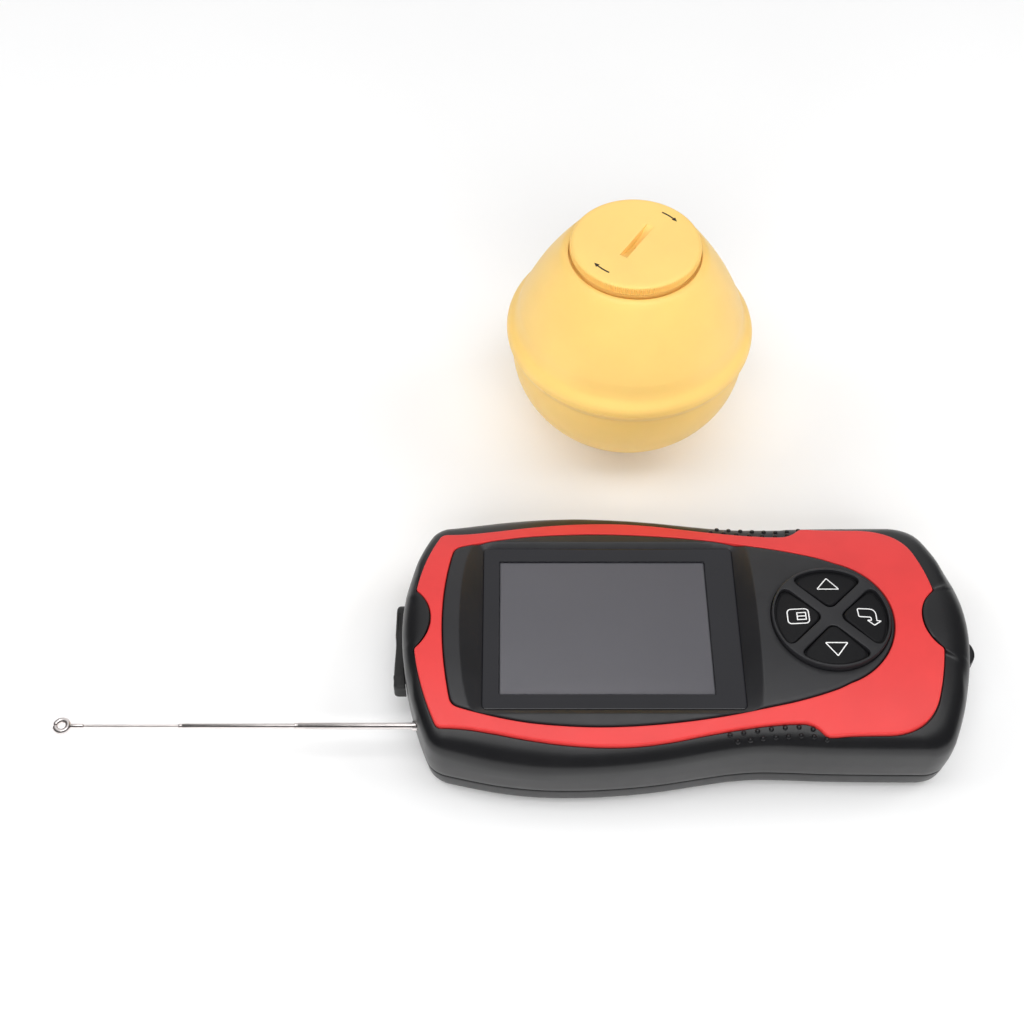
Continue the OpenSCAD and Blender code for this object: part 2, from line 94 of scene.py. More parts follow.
def make_camera():
    data = bpy.data.cameras.new("camera")
    data.sensor_width = 36
    data.lens = CAMERA_LENS
    data.clip_start = 0.01
    camera = put("camera", data)
    camera.location = CAMERA_PLACE
    camera.rotation_euler = (math.radians(CAMERA_TILT), 0, 0)
    bpy.context.scene.camera = camera


def soft_light(name, place, size, power):
    """A rectangular lamp that faces the frame's origin."""
    data = bpy.data.lights.new(name, "AREA")
    data.shape = "RECTANGLE"
    data.size, data.size_y = size
    data.energy = power
    lamp = put(name, data)
    lamp.location = place
    lamp.rotation_euler = (-Vector(place)).to_track_quat("-Z", "Y").to_euler()
    return lamp


WORLD_GREY = (0.74, 0.74, 0.745, 1)
# The studio is light above and behind the object, dark in front and to both sides: where each
# of the two directions is dark, and where it is light
BACKWARDS = (-0.28, 0.24)
SIDEWAYS = (0.65, 0.15)
DARK = 0.1
# Lamps: name, place, size, watts. The fills light the object without showing in its gloss
SOFTBOX = ("softbox_top", (0.0, -0.1, 1.0), (0.9, 0.36), 2.9)
FILLS = (("fill_left", (-1.0, 0.15, 0.8), (0.8, 0.8), 5.5),
         ("fill_right", (1.0, 0.15, 0.8), (0.8, 0.8), 5.5),
         ("fill_front", (0.0, -1.1, 0.72), (1.6, 0.8), 15))
FLOOR_HALF = 4          # metres
FLOOR_DROP = 0.00005    # metres, so that it doesn't cut into the flat undersides


def make_studio():
    scene = bpy.context.scene
    scene.view_settings.view_transform = "Standard"
    world = bpy.data.worlds.new("studio")
    scene.world = world
    world.use_nodes = True
    nodes, links = world.node_tree.nodes, world.node_tree.links
    background = nodes["Background"]
    direction = nodes.new("ShaderNodeTexCoord")
    split = nodes.new("ShaderNodeSeparateXYZ")
    links.new(direction.outputs["Generated"], split.inputs[0])
    aside = nodes.new("ShaderNodeMath")
    aside.operation = "ABSOLUTE"
    links.new(split.outputs["X"], aside.inputs[0])
    both = nodes.new("ShaderNodeMath")
    both.operation = "MULTIPLY"
    levels = ((split.outputs["Y"], BACKWARDS), (aside.outputs[0], SIDEWAYS))
    for number, (level, (dark, light)) in enumerate(levels):
        share = nodes.new("ShaderNodeMapRange")
        share.interpolation_type = "SMOOTHSTEP"
        share.inputs["From Min"].default_value = dark
        share.inputs["From Max"].default_value = light
        share.inputs["To Min"].default_value = DARK
        links.new(level, share.inputs["Value"])
        links.new(share.outputs[0], both.inputs[number])
    links.new(both.outputs[0], background.inputs["Strength"])
    background.inputs["Color"].default_value = WORLD_GREY
    soft_light(*SOFTBOX)
    for fill in FILLS:
        soft_light(*fill).visible_glossy = False
    sheet = bpy.data.meshes.new("floor")
    corners = [(-1, -1), (1, -1), (1, 1), (-1, 1)]
    sheet.from_pydata([(x * FLOOR_HALF, y * FLOOR_HALF, -FLOOR_DROP) for x, y in corners], [],
                      [(0, 1, 2, 3)])
    sheet.materials.append(surface("floor_paper", (0.95, 0.95, 0.95), 0.75, shift=0.006,
                                   patch=80, relief=0))
    put("floor", sheet)


# ---------- materials ----------

def surface(name, colour, roughness, metal=0.0, shift=0.08, patch=9, wear=0.05, grain=0.4,
            relief=0.004, sockets=()):
    """A material whose colour drifts in soft patches, with uneven polish and a fine relief.

    patch and grain are the sizes of the drift and of the relief's grains, and relief is
    its depth, all in millimetres. shift and wear are shares of colour and of roughness.
    """
    made = bpy.data.materials.new(name)
    made.use_nodes = True
    nodes, links = made.node_tree.nodes, made.node_tree.links
    shader = nodes["Principled BSDF"]
    shader.inputs["Metallic"].default_value = metal
    for socket, value in sockets:
        shader.inputs[socket].default_value = value
    place = nodes.new("ShaderNodeTexCoord")

    def noise(size, detail):
        made_noise = nodes.new("ShaderNodeTexNoise")
        made_noise.inputs["Scale"].default_value = 1 / (size * MM)
        made_noise.inputs["Detail"].default_value = detail
        links.new(place.outputs["Object"], made_noise.inputs["Vector"])
        return made_noise.outputs["Fac"]

    drift = nodes.new("ShaderNodeValToRGB")
    for element, share, at in zip(drift.color_ramp.elements, (1 - shift, 1 + shift), (0.35, 0.65)):
        element.position = at
        element.color = (*[min(1, c * share) for c in colour], 1)
    links.new(noise(patch, 3), drift.inputs["Fac"])
    links.new(drift.outputs["Color"], shader.inputs["Base Color"])
    polish = nodes.new("ShaderNodeMapRange")
    polish.inputs["To Min"].default_value = max(0.02, roughness - wear)
    polish.inputs["To Max"].default_value = roughness + wear
    links.new(noise(patch / 3, 5), polish.inputs["Value"])
    links.new(polish.outputs[0], shader.inputs["Roughness"])
    if relief:
        bump = nodes.new("ShaderNodeBump")
        bump.inputs["Distance"].default_value = relief * MM
        links.new(noise(grain, 2), bump.inputs["Height"])
        links.new(bump.outputs[0], shader.inputs["Normal"])
    return made


# Each finish: colour, roughness, and what else differs from surface()'s own values
FINISHES = {
    "case_black": ((0.008, 0.008, 0.009), 0.33, dict(grain=0.35, relief=0.003)),
    "face_red": ((0.7, 0.042, 0.041), 0.42, dict(shift=0.03, grain=0.3)),
    "panel_grey": ((0.016, 0.016, 0.018), 0.4, dict(grain=0.3)),
    "screen_glass": ((0.009, 0.009, 0.012), 0.09, dict(wear=0.02, relief=0, patch=20)),
    "display_grey": ((0.205, 0.2, 0.222), 0.35, dict(shift=0.01, patch=14, relief=0)),
    "key_black": ((0.006, 0.006, 0.007), 0.55,
                  dict(grain=0.2, sockets=(("Specular IOR Level", 0.25),))),
    "membrane": ((0.4, 0.4, 0.42), 0.6, dict(relief=0.002)),
    "seal_rubber": ((0.02, 0.02, 0.02), 0.55, dict(grain=0.25, relief=0.006)),
    "screw_steel": ((0.6, 0.59, 0.58), 0.3, dict(metal=1, relief=0.002)),
    "aerial_steel": ((0.92, 0.86, 0.84), 0.3,
                     dict(metal=1, patch=4, grain=0.12, relief=0.001,
                          sockets=(("Specular Tint", (0.42, 0.4, 0.4, 1)),))),
    "board_green": ((0.02, 0.16, 0.06), 0.4, dict(shift=0.25, patch=2.5, grain=1.2, relief=0.02)),
    "chip_black": ((0.02, 0.02, 0.022), 0.55, dict(grain=0.15, relief=0.003)),
    "shield_can": ((0.7, 0.7, 0.69), 0.35, dict(metal=1, relief=0.002)),
    "flex_amber": ((0.5, 0.22, 0.03), 0.35, dict(patch=1.2, shift=0.2)),
    "cell_jacket": ((0.05, 0.1, 0.16), 0.3, dict(patch=6, relief=0.001)),
    "coin_cell_can": ((0.72, 0.71, 0.69), 0.28, dict(metal=1, grain=0.2)),
    "contact_metal": ((0.8, 0.62, 0.3), 0.3, dict(metal=1, grain=0.3)),
    "float_yellow": ((0.95, 0.63, 0.19), 0.42,
                     dict(shift=0.025, patch=16, grain=0.5,
                          sockets=(("Subsurface Weight", 0.1), ("Subsurface Scale", 0.0012)))),
    "piezo": ((0.75, 0.72, 0.6), 0.55, dict(grain=0.2)),
    "potting": ((0.03, 0.03, 0.03), 0.25, dict(patch=5)),
    "ballast_steel": ((0.35, 0.34, 0.33), 0.5, dict(metal=1, grain=0.8, relief=0.02)),
    # These aren't material slots of the record
    "icon_white": ((0.86, 0.86, 0.86), 0.5, dict(shift=0.03, relief=0.001)),
    "ink_black": ((0.012, 0.007, 0.004), 0.5, dict(relief=0.001)),
    "clear_film": ((0.03, 0.03, 0.036), 0.07, dict(wear=0.02, relief=0, sockets=(("Alpha", 0.2),))),
    "lcd_frame": ((0.045, 0.045, 0.05), 0.35, dict(relief=0.001)),
}


@functools.cache
def finish(name):
    colour, roughness, rest = FINISHES[name]
    return surface(name, colour, roughness, **rest)


# ---------- curves and outlines ----------

def curve(*points):
    """A smooth function through (x, value) points, level beyond its ends."""
    xs, values = np.array(points, float).T
    slopes = np.gradient(values, xs)

    def at(x):
        x = np.clip(x, xs[0], xs[-1])
        k = np.clip(np.searchsorted(xs, x) - 1, 0, len(xs) - 2)
        step = xs[k + 1] - xs[k]
        t = (x - xs[k]) / step
        return (values[k] * (1 + 2 * t) * (1 - t) ** 2 + values[k + 1] * t * t * (3 - 2 * t)
                + step * (slopes[k] * t * (1 - t) ** 2 - slopes[k + 1] * t * t * (1 - t)))

    return at


def smooth_max(a, b, blend):
    """The larger of two, with the corner between them rounded off."""
    share = np.clip(1 - np.abs(a - b) / blend, 0, 1)
    return np.maximum(a, b) + share * share * blend / 4


def smooth_step(x):
    x = np.clip(x, 0, 1)
    return x * x * (3 - 2 * x)


def circle(x, y, centre, radius):
    """Distance outside a circle, which is negative inside it."""
    return np.hypot(x - centre[0], y - centre[1]) - radius


CROWN_RADIUS = 104
END_RADII = (70, 68)         # of the case's aerial end and keypad end, seen from above
THUMB_BUMPS = (((-69.2, 0), 11), ((66.8, 0), 10.5))
face_z = span("face_ring")[1].z
case_low, case_high = span("back_case")
# Half widths along X of the case, of the red ring and of the dark panel in it
case_side = curve((-70, 27.2), (-60, 30.2), (-51, 32.5), (-42, 34.4), (-34, 35.35), (-26, 35.58),
                  (-15, 35.1), (-5, 34.0), (4.5, 32.4), (11, 31.4), (17, 30.9), (23, 30.95),
                  (32, 31.3), (44, 31.5), (70, 31.5))
ring_side = curve((-62, 26.9), (-56, 26.75), (-50, 27.0), (-44, 27.9), (-36, 29.35), (-28, 30.45),
                  (-20, 31.0), (-12, 30.9), (-4, 30.0), (4, 28.5), (12, 27.15), (20, 26.15),
                  (24.5, 25.9), (27.6, 26.1), (29.4, 27.0), (31.6, 28.75), (32.6, 28.8),
                  (36, 28.6), (48, 28.4), (64, 28.4))
panel_side = curve((-57, 20.6), (-52, 22.3), (-44, 24.45), (-36, 25.95), (-28, 26.7), (-20, 27.0),
                   (-12, 26.8), (-4, 26.2), (4, 25.25), (12, 23.95), (19, 22.5),
                   (24.2, 21.4), (28.4, 20.3), (32, 19.2), (35.2, 18.05), (38, 16.7), (41, 15.2))


def crown(y):
    """Height of the crowned face."""
    return face_z - CROWN_RADIUS + np.sqrt(CROWN_RADIUS ** 2 - np.square(y))


def case_field(x, y):
    """Distance outside the case's edge, seen from above, as the other fields are."""
    left, right = END_RADII
    ends = smooth_max(circle(x, y, (case_low.x + left, 0), left),
                      circle(x, y, (case_high.x - right, 0), right), 1)
    return smooth_max(np.abs(y) - case_side(x), ends, 2.5 + 1.5 * smooth_step((x + 20) / 40))


def ring_field(x, y):
    """The red face ring's outer edge, with a notch at each end for a thumb bump."""
    ends = smooth_max(circle(x, y, (-0.3, 0), 62), circle(x, y, (-5.4, 0), 66), 1)
    edge = smooth_max(np.abs(y) - ring_side(x), ends, 1.2 + 7 * smooth_step((x - 10) / 30))
    for notch in THUMB_BUMPS:
        edge = smooth_max(edge, -circle(x, y, *notch), 0.5)
    return edge


def panel_field(x, y):
    """The dark panel inside the ring: a long lens with a round nose at the keypad."""
    left = circle(x, y, (44.4, 0), 100)
    sides = np.where(x < 38, np.abs(y) - panel_side(x), circle(x, y, (32, 0), 17.75))
    return smooth_max(sides, left, 1.6)


class Rays:
    """Rays out from a spine along X, on which every loop of one piece is measured.

    They lie closer together where the fields that they are made for turn.
    """
    REACH = 120.0
    HALVINGS = 44

    def __init__(self, start, end, count, *fields):
        self.start, self.end = start, end
        turn = np.linspace(0, 4, 12 * count + 1)
        self.aim(turn[:-1])
        density = np.zeros(len(turn) - 1)
        for field in fields:
            edge = self.loop(field)
            step = np.roll(edge, -1, axis=0) - edge
            heading = np.unwrap(np.arctan2(step[:, 1], step[:, 0]))
            bend = np.abs(np.diff(heading, append=heading[:1] + 2 * math.pi))
            density += np.hypot(*step.T) + 4 * np.minimum(bend, 0.3)
        total = np.concatenate([[0], np.cumsum(density)])
        self.aim(np.interp(np.linspace(0, total[-1], count, endpoint=False), total, turn))

    def aim(self, turn):
        part, share = np.divmod(turn, 1)
        reach = self.end - self.start
        self.x = np.choose(part.astype(int), [self.start + reach * share, self.end,
                                              self.end - reach * share, self.start])
        angle = np.choose(part.astype(int), [-0.5, share - 0.5, 0.5, share + 0.5]) * math.pi
        self.way = np.stack([np.cos(angle), np.sin(angle)], axis=1)

    def loop(self, field, level=0.0):
        """The closed loop on which a field has this level."""
        near, far = np.zeros(len(self.x)), np.full(len(self.x), self.REACH)
        for _ in range(self.HALVINGS):
            reach = (near + far) / 2
            inside = field(self.x + reach * self.way[:, 0], reach * self.way[:, 1]) < level
            near, far = np.where(inside, reach, near), np.where(inside, far, reach)
        return np.stack([self.x, 0 * near], axis=1) + near[:, None] * self.way


def rounded(corners, steps=4, closed=True):
    """A polygon of (x, y, radius) corners, with each corner turned into an arc."""
    points = []
    count = len(corners)
    for k, (x, y, radius) in enumerate(corners):
        corner = Vector((x, y))
        if radius == 0 or (not closed and k in (0, count - 1)):
            points.append(corner)
            continue
        back = (Vector(corners[k - 1][:2]) - corner).normalized()
        on = (Vector(corners[(k + 1) % count][:2]) - corner).normalized()
        half = back.angle(on) / 2
        centre = corner + (back + on).normalized() * radius / math.sin(half)
        first, last = (corner + way * radius / math.tan(half) for way in (back, on))
        for step in range(steps + 1):
            spoke = (first - centre).slerp(last - centre, step / steps)
            points.append(centre + spoke.normalized() * radius)
    return np.array(points)


def round_loop(centre, radius, count=96):
    angle = np.linspace(0, 2 * math.pi, count, endpoint=False)
    return np.array(centre) + radius * np.stack([np.cos(angle), np.sin(angle)], axis=1)


def box_loop(low, high, grow, radius):
    (x0, y0), (x1, y1) = low[:2], high[:2]
    x0, y0, x1, y1 = x0 - grow, y0 - grow, x1 + grow, y1 + grow
    return rounded([(x0, y0, radius), (x1, y0, radius), (x1, y1, radius), (x0, y1, radius)])


def split_long(loop, parts=30, long=5):
    """The same loop with points added along its long sides."""
    points = []
    for a, b in zip(loop, np.roll(loop, -1, axis=0)):
        here = parts if np.hypot(*(b - a)) > long else 1
        points += [a + (b - a) * k / here for k in range(here)]
    return np.array(points)


def hoop(spot, side, up, radius, count=16):
    """Points of a circle round a spot, in the plane of two directions."""
    turns = [2 * math.pi * k / count for k in range(count)]
    return [spot + (side * math.cos(a) + up * math.sin(a)) * radius for a in turns]


def inside(points, loop):
    """Which points lie inside a closed loop."""
    x, y = points[:, 0, None], points[:, 1, None]
    a, b = loop, np.roll(loop, -1, axis=0)
    crosses = (a[:, 1] > y) != (b[:, 1] > y)
    with np.errstate(divide="ignore", invalid="ignore"):
        at = a[:, 0] + (y - a[:, 1]) / (b[:, 1] - a[:, 1]) * (b[:, 0] - a[:, 0])
    return (crosses & (x < at)).sum(axis=1) % 2 == 1


# ---------- mesh building ----------

SAME_PLACE = 1e-7       # metres


class Solid:
    """Points and faces of one closed piece, in millimetres.

    bar, turn, tube and cuboid give the solid back, and the others the rings that they make.
    """

    def __init__(self):
        self.points = []
        self.faces = []

    def row(self, points):
        """Adds points and gives their numbers."""
        first = len(self.points)
        self.points += [tuple(p) for p in points]
        return list(range(first, len(self.points)))

    def ring(self, loop, height):
        heights = np.broadcast_to(height, len(loop))
        return self.row((x, y, z) for (x, y), z in zip(loop, heights))

    def skin(self, *rings):
        """Faces between each ring and the next, which have as many points."""
        for a, b in zip(rings, rings[1:]):
            count = len(a)
            for k in range(count):
                on = (k + 1) % count
                self.faces.append((a[k], a[on], b[on], b[k]))
        return rings[-1]

    def bar(self, rings):
        """Joins rings and closes the first and the last, which are small or flat."""
        self.skin(*rings)
        self.faces += [tuple(rings[0]), tuple(rings[-1])]
        return self

    def fill(self, outer, holes=(), inner=(), height=None):
        """Triangles between an outer ring and holes, through inner points laid at a height."""
        rings = [outer, *holes]
        index = [k for ring in rings for k in ring]
        flat = [Vector(self.points[k][:2]) for k in index]
        edges, at = [], 0
        for ring in rings:
            edges += [(at + k, at + (k + 1) % len(ring)) for k in range(len(ring))]
            at += len(ring)
        if len(inner):
            inner = np.array(inner)
            index += self.ring(inner, height(inner[:, 0], inner[:, 1]))
            flat += [Vector(p) for p in inner]
        corners, _, faces, origin, _, _ = delaunay_2d_cdt(flat, edges, [], 1, 1e-4)
        loops = [np.array([self.points[k][:2] for k in ring]) for ring in holes]
        centres = np.array([sum((corners[k] for k in face), Vector((0, 0))) / 3 for face in faces])
        keep = np.ones(len(faces), bool)
        for loop in loops:
            keep &= ~inside(centres, loop)
        for face, kept in zip(faces, keep):
            if kept:
                self.faces.append(tuple(index[origin[k][0]] for k in face))

    def turn(self, profile, centre, count=96, axis="Z", closed=True, radius_at=None):
        """Turns (radius, height) points round an axis through centre."""
        angle = np.linspace(0, 2 * math.pi, count, endpoint=False)
        rings = []
        for row, (radius, height) in enumerate(profile):
            radii = radius * np.ones(count) if radius_at is None else radius_at(row, radius, angle)
            flat = zip(radii * np.cos(angle), radii * np.sin(angle))
            rings.append(self.row(Vector(centre) + Vector((u, v, height) if axis == "Z"
                                                          else (height, u, v)) for u, v in flat))
        if closed:
            self.skin(*rings, rings[0])
            return self
        return self.bar(rings)

    def tube(self, path, radius, ends=3):
        """A round bar along a path, with rounded ends."""
        path = [Vector(p) for p in path]
        way = [(b - a).normalized() for a, b in zip(path, path[1:])]
        way = [way[0], *[(a + b).normalized() for a, b in zip(way, way[1:])], way[-1]]
        rows = [(p, w, radius) for p, w in zip(path, way)]
        for k in range(1, ends + 1):
            turn = math.pi / 2 * k / (ends + 0.5)
            out, thin = radius * math.sin(turn), radius * math.cos(turn)
            rows.insert(0, (path[0] - way[0] * out, way[0], thin))
            rows.append((path[-1] + way[-1] * out, way[-1], thin))
        side = rows[0][1].orthogonal().normalized()
        rings = []
        for spot, along, size in rows:
            side = (side - along * side.dot(along)).normalized()
            rings.append(self.row(hoop(spot, side, along.cross(side), size)))
        return self.bar(rings)

    def cuboid(self, low, high):
        (x0, y0, z0), (x1, y1, z1) = low, high
        corners = [(x0, y0), (x1, y0), (x1, y1), (x0, y1)]
        return self.bar([self.row((x, y, z) for x, y in corners) for z in (z0, z1)])

    def mesh(self, name):
        made = bpy.data.meshes.new(name)
        made.from_pydata([Vector(p) * MM for p in self.points], [], self.faces)
        work = bmesh.new()
        work.from_mesh(made)
        bmesh.ops.remove_doubles(work, verts=work.verts, dist=SAME_PLACE)
        loose = [v for v in work.verts if not v.link_faces]
        bmesh.ops.delete(work, geom=loose, context="VERTS")
        bmesh.ops.recalc_face_normals(work, faces=work.faces)
        if work.calc_volume(signed=True) < 0:
            bmesh.ops.reverse_faces(work, faces=work.faces)
        work.to_mesh(made)
        work.free()
        return made


def shade(obj, sharp=32):
    mesh = obj.data
    mesh.polygons.foreach_set("use_smooth", [True] * len(mesh.polygons))
    mesh.set_sharp_from_angle(angle=math.radians(sharp))


def cut(obj, *cutters):
    """Takes solids away from a piece."""
    for number, cutter in enumerate(cutters):
        tool = put("cutter", cutter.mesh("cutter"))
        modifier = obj.modifiers.new(f"cut_{number}", "BOOLEAN")
        modifier.object = tool
        modifier.solver = "EXACT"
        bpy.context.view_layer.update()
        cut_mesh = bpy.data.meshes.new_from_object(
            obj.evaluated_get(bpy.context.evaluated_depsgraph_get()))
        obj.modifiers.clear()
        obj.data = cut_mesh
        bpy.data.objects.remove(tool)


def piece(name, solid, look, body="handset", stands_for=(), cutters=(), ride=True,
          sharp=32):
    obj = put(name, solid.mesh(name))
    obj.data.materials.append(finish(look))
    if cutters:
        cut(obj, *cutters)
    shade(obj, sharp)
    if ride:
        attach(obj, body)
    if stands_for:
        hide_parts(*stands_for)
    return obj


# ---------- handset case ----------

GAP = 0.22          # dark line inside and outside the face ring
WALL = 2.0          # thickness of the case
RING_SEAT = (2.2, 1.9, 3.2)     # the ledge under the ring: width, depth of its top and underside
UPPER_HOLLOW = 13   # the hollow under the upper case reaches up to here
# The wall's shoulder: inset from the case's edge, drop below the crown, the same on a thumb bump
SHOULDER = [(0.0, 5.6, 5.6), (0.01, 4.3, 4.2), (0.06, 3.63, 3.5), (0.15, 3.15, 2.95),
            (0.28, 2.71, 2.45), (0.45, 2.32, 2.0), (0.65, 1.99, 1.62), (0.9, 1.7, 1.25),
            (1.3, 1.39, 0.8), (1.8, 1.14, 0.4), (2.5, 0.94, 0.02), (3.3, 0.84, -0.2),
            (4.2, 0.78, -0.3), (9.0, 0.75, -0.3)]
FOLLOWED = 10       # as many of its rows follow the case's edge, the rest close in on the ring
# Insets and heights of the wall under it, and of the back case from the table up
LOW_WALL = [(0.76, 6.31), (0.52, 6.41), (0.42, 6.7), (0.27, 8.2), (0.1, 10.2), (0.02, 11.8)]
FOOT = [(3.6, 0.0), (2.8, 0.1), (2.15, 0.32), (1.65, 0.75), (1.3, 1.33), (1.0, 2.2), (0.8, 3.3),
        (0.64, 4.5), (0.55, 5.4), (0.53, 5.8), (0.62, 5.98), (0.82, 6.07)]
CASE_POINTS = 760
SOCKET = (-7.1, 9.5)            # y and z of its centre
SOCKET_MOUTH, AERIAL_MOUTH = 2.2, 1.3
END_WALL = (-70, -58)           # both mouths go through this stretch of X
DOT = (0.6, 0.45)               # radius and rise of a grip dot
SEAM = (1.2, 1.7)               # how far in the gasket shows between the two halves


def on_bump(x, y, inset):
    """1 on a thumb bump, fading to 0 outside it: at once on top, slowly down the wall."""
    spread = 0.8 + 10 * smooth_step(1 - inset / 4.2)
    return sum(smooth_step(1 - circle(x, y, *bump) / spread) for bump in THUMB_BUMPS)


def shoulder_height(x, y, inset, ledge):
    """Height of the shoulder, where the ledge beside the ring is this wide."""
    insets, drops, bump_drops = np.array(SHOULDER).T
    scale = np.clip(ledge / 4.5, 1, 1.6)
    drop = np.interp(inset / scale, insets, drops)
    drop = drops[-1] + (drop - drops[-1]) * scale
    bump_drop = np.interp(inset / scale, insets, bump_drops) + 0.5 * np.square(y / 8.3)
    return crown(y) - drop - on_bump(x, y, inset) * (bump_drop - drop)


def wall_rings(solid, rays, rows):
    """Rings of the case's wall, from rows of inset and height."""
    return [solid.ring(rays.loop(case_field, -inset), z) for inset, z in rows]


def upper_case(rays):
    solid = Solid()
    rim = rays.loop(ring_field, GAP)
    ledge = -case_field(*rim.T)
    scale = np.clip(ledge / 4.5, 1, 1.6)
    rings = wall_rings(solid, rays, LOW_WALL)
    for inset, _, _ in SHOULDER[:FOLLOWED]:
        loop = rays.loop(case_field, -inset * scale)
        rings.append(solid.ring(loop, shoulder_height(*loop.T, inset * scale, ledge)))
    for share in (0.25, 0.5, 0.72, 0.88, 0.96, 1):
        near_rim = loop + (rim - loop) * share
        inset = -case_field(*near_rim.T)
        sink = 0.12 if share == 1 else 0
        rings.append(solid.ring(near_rim, shoulder_height(*near_rim.T, inset, ledge) - sink))
    rim_crown = crown(rim[:, 1])
    seat, seat_top, seat_under = RING_SEAT
    inner = rays.loop(ring_field, -seat)
    inner_crown = crown(inner[:, 1])
    rings += [solid.ring(rim, rim_crown - 1.1), solid.ring(rim, rim_crown - seat_top),
              solid.ring(inner, inner_crown - seat_top),
              solid.ring(inner, inner_crown - seat_under),
              *wall_rings(solid, rays, [(WALL, UPPER_HOLLOW), (WALL, LOW_WALL[0][1])])]
    solid.skin(*rings, rings[0])
    lanyard_lug(solid)
    aerial = middle("aerial_base")
    mouths = [Solid().turn([(radius, x) for x in END_WALL], (0, y, z), 48, "X", closed=False)
              for y, z, radius in ((aerial.y, aerial.z, AERIAL_MOUTH), (*SOCKET, SOCKET_MOUTH))]
    piece("upper_case_shell", solid, "case_black", stands_for=("upper_case",), cutters=mouths)
    dots = Solid()
    for spot, way in grip_dots():
        dot(dots, spot, way, *DOT)
    piece("grip_dots", dots, "case_black")


def case_seam(rays):
    """The gasket, as far as it fills the gap between the two halves."""
    seal = Solid()
    low, high = FOOT[-1][1], LOW_WALL[0][1]
    outer, inner = SEAM
    rings = wall_rings(seal, rays, [(outer, low), (outer, high), (inner, high), (inner, low)])
    seal.skin(*rings, rings[0])
    piece("case_seam", seal, "seal_rubber", stands_for=("case_gasket",))


def wall_point(x, y, side, step=0.1):
    """A point of the shoulder and its normal, on one side of the handset."""
    heights = []
    for dx, dy in ((0, 0), (step, 0), (0, step)):
        spot = np.array(x + dx), np.array(y + dy)
        inset = -case_field(*spot)
        ledge = inset + ring_field(*spot) - GAP
        heights.append(float(shoulder_height(*spot, inset, ledge)))
    slope_x, slope_y = (heights[1] - heights[0]) / step, (heights[2] - heights[0]) / step
    return (Vector((x, side * y, heights[0])),
            Vector((-slope_x, -side * slope_y, 1)).normalized())


inner_dots = curve((9.6, 28.4), (15.6, 27.55), (19.1, 27.1), (22.3, 26.8), (25.5, 26.7),
                   (28.5, 27.2))
outer_dots = curve((11.5, 29.7), (17.3, 29.0), (22.3, 28.65), (26.8, 28.5), (31.4, 29.3))


def grip_dots():
    """Two staggered rows of dots along the shoulder at each grip."""
    rows = [(x, float(inner_dots(x))) for x in np.linspace(9.6, 28.3, 7)]
    rows += [(x, float(outer_dots(x))) for x in np.linspace(11.3, 31.3, 8)]
    return [wall_point(x, y, side) for x, y in rows for side in (-1, 1)]


DOT_ROWS = [(1.08, -0.5), (1.0, 0.0), (0.92, 0.45), (0.72, 0.8), (0.4, 0.97), (0.12, 1.0)]


def dot(solid, spot, way, radius, rise):
    """A low dome standing on a surface."""
    side = way.orthogonal().normalized()
    solid.bar([solid.row(hoop(spot + way * rise * lift, side, way.cross(side), radius * share))
               for share, lift in DOT_ROWS])


LUG_Z = (7.2, 10.2)
LUG_HOLE = (1.7, 1.25)      # its centre's reach from the case, and its radius


def lanyard_lug(solid):
    """A half-round lug with a hole for a lanyard, at the middle of the keypad end."""
    end, root = case_high.x, case_high.x - 1.2
    reach = span("upper_case")[1].x - end
    foot, top = LUG_Z
    edge = [(0.35, 0.0), (0.1, 0.1), (0.0, 0.35)]
    rows = [(inset, foot + up) for inset, up in edge]
    rows += [(inset, top - up) for inset, up in reversed(edge)]
    angle = np.linspace(-0.5, 0.5, 33) * math.pi
    outer, hole = [], []
    for inset, z in rows:
        size = reach - inset
        arc = np.stack([end + size * np.cos(angle), size * np.sin(angle)], axis=1)
        outer.append(solid.ring([*arc, (root, size), (root, -size)], z))
        hole.append(solid.ring(round_loop((end + LUG_HOLE[0], 0), LUG_HOLE[1] + inset, 32), z))
    for rings in (outer, hole):
        solid.skin(*rings)
    for end_row in (0, -1):
        solid.fill(outer[end_row], [hole[end_row]])


FLOOR_TOP = 2.1                 # inside of the back case's floor
DOOR_HALF, DOOR_GAP = 22, 0.3
DOOR_TONGUE = 23.5              # half width of the slot that the door's edges run in
BAY_X, BAY_HALF, BAY_WALL, BAY_TOP = (1.2, 53.3), 22.4, 1.2, 11.9
SCREWS = ((-46, 28.4), (0, 28), (54, 26.2))     # on one side of the case
SCREW_HOLE = ((2.35, -1), (2.35, 1.95))         # radius and height at its two ends


def slab(half, across, up):
    """A block this wide to each side of the middle, between these places along X and Z."""
    return Solid().cuboid((across[0], -half, up[0]), (across[1], half, up[1]))


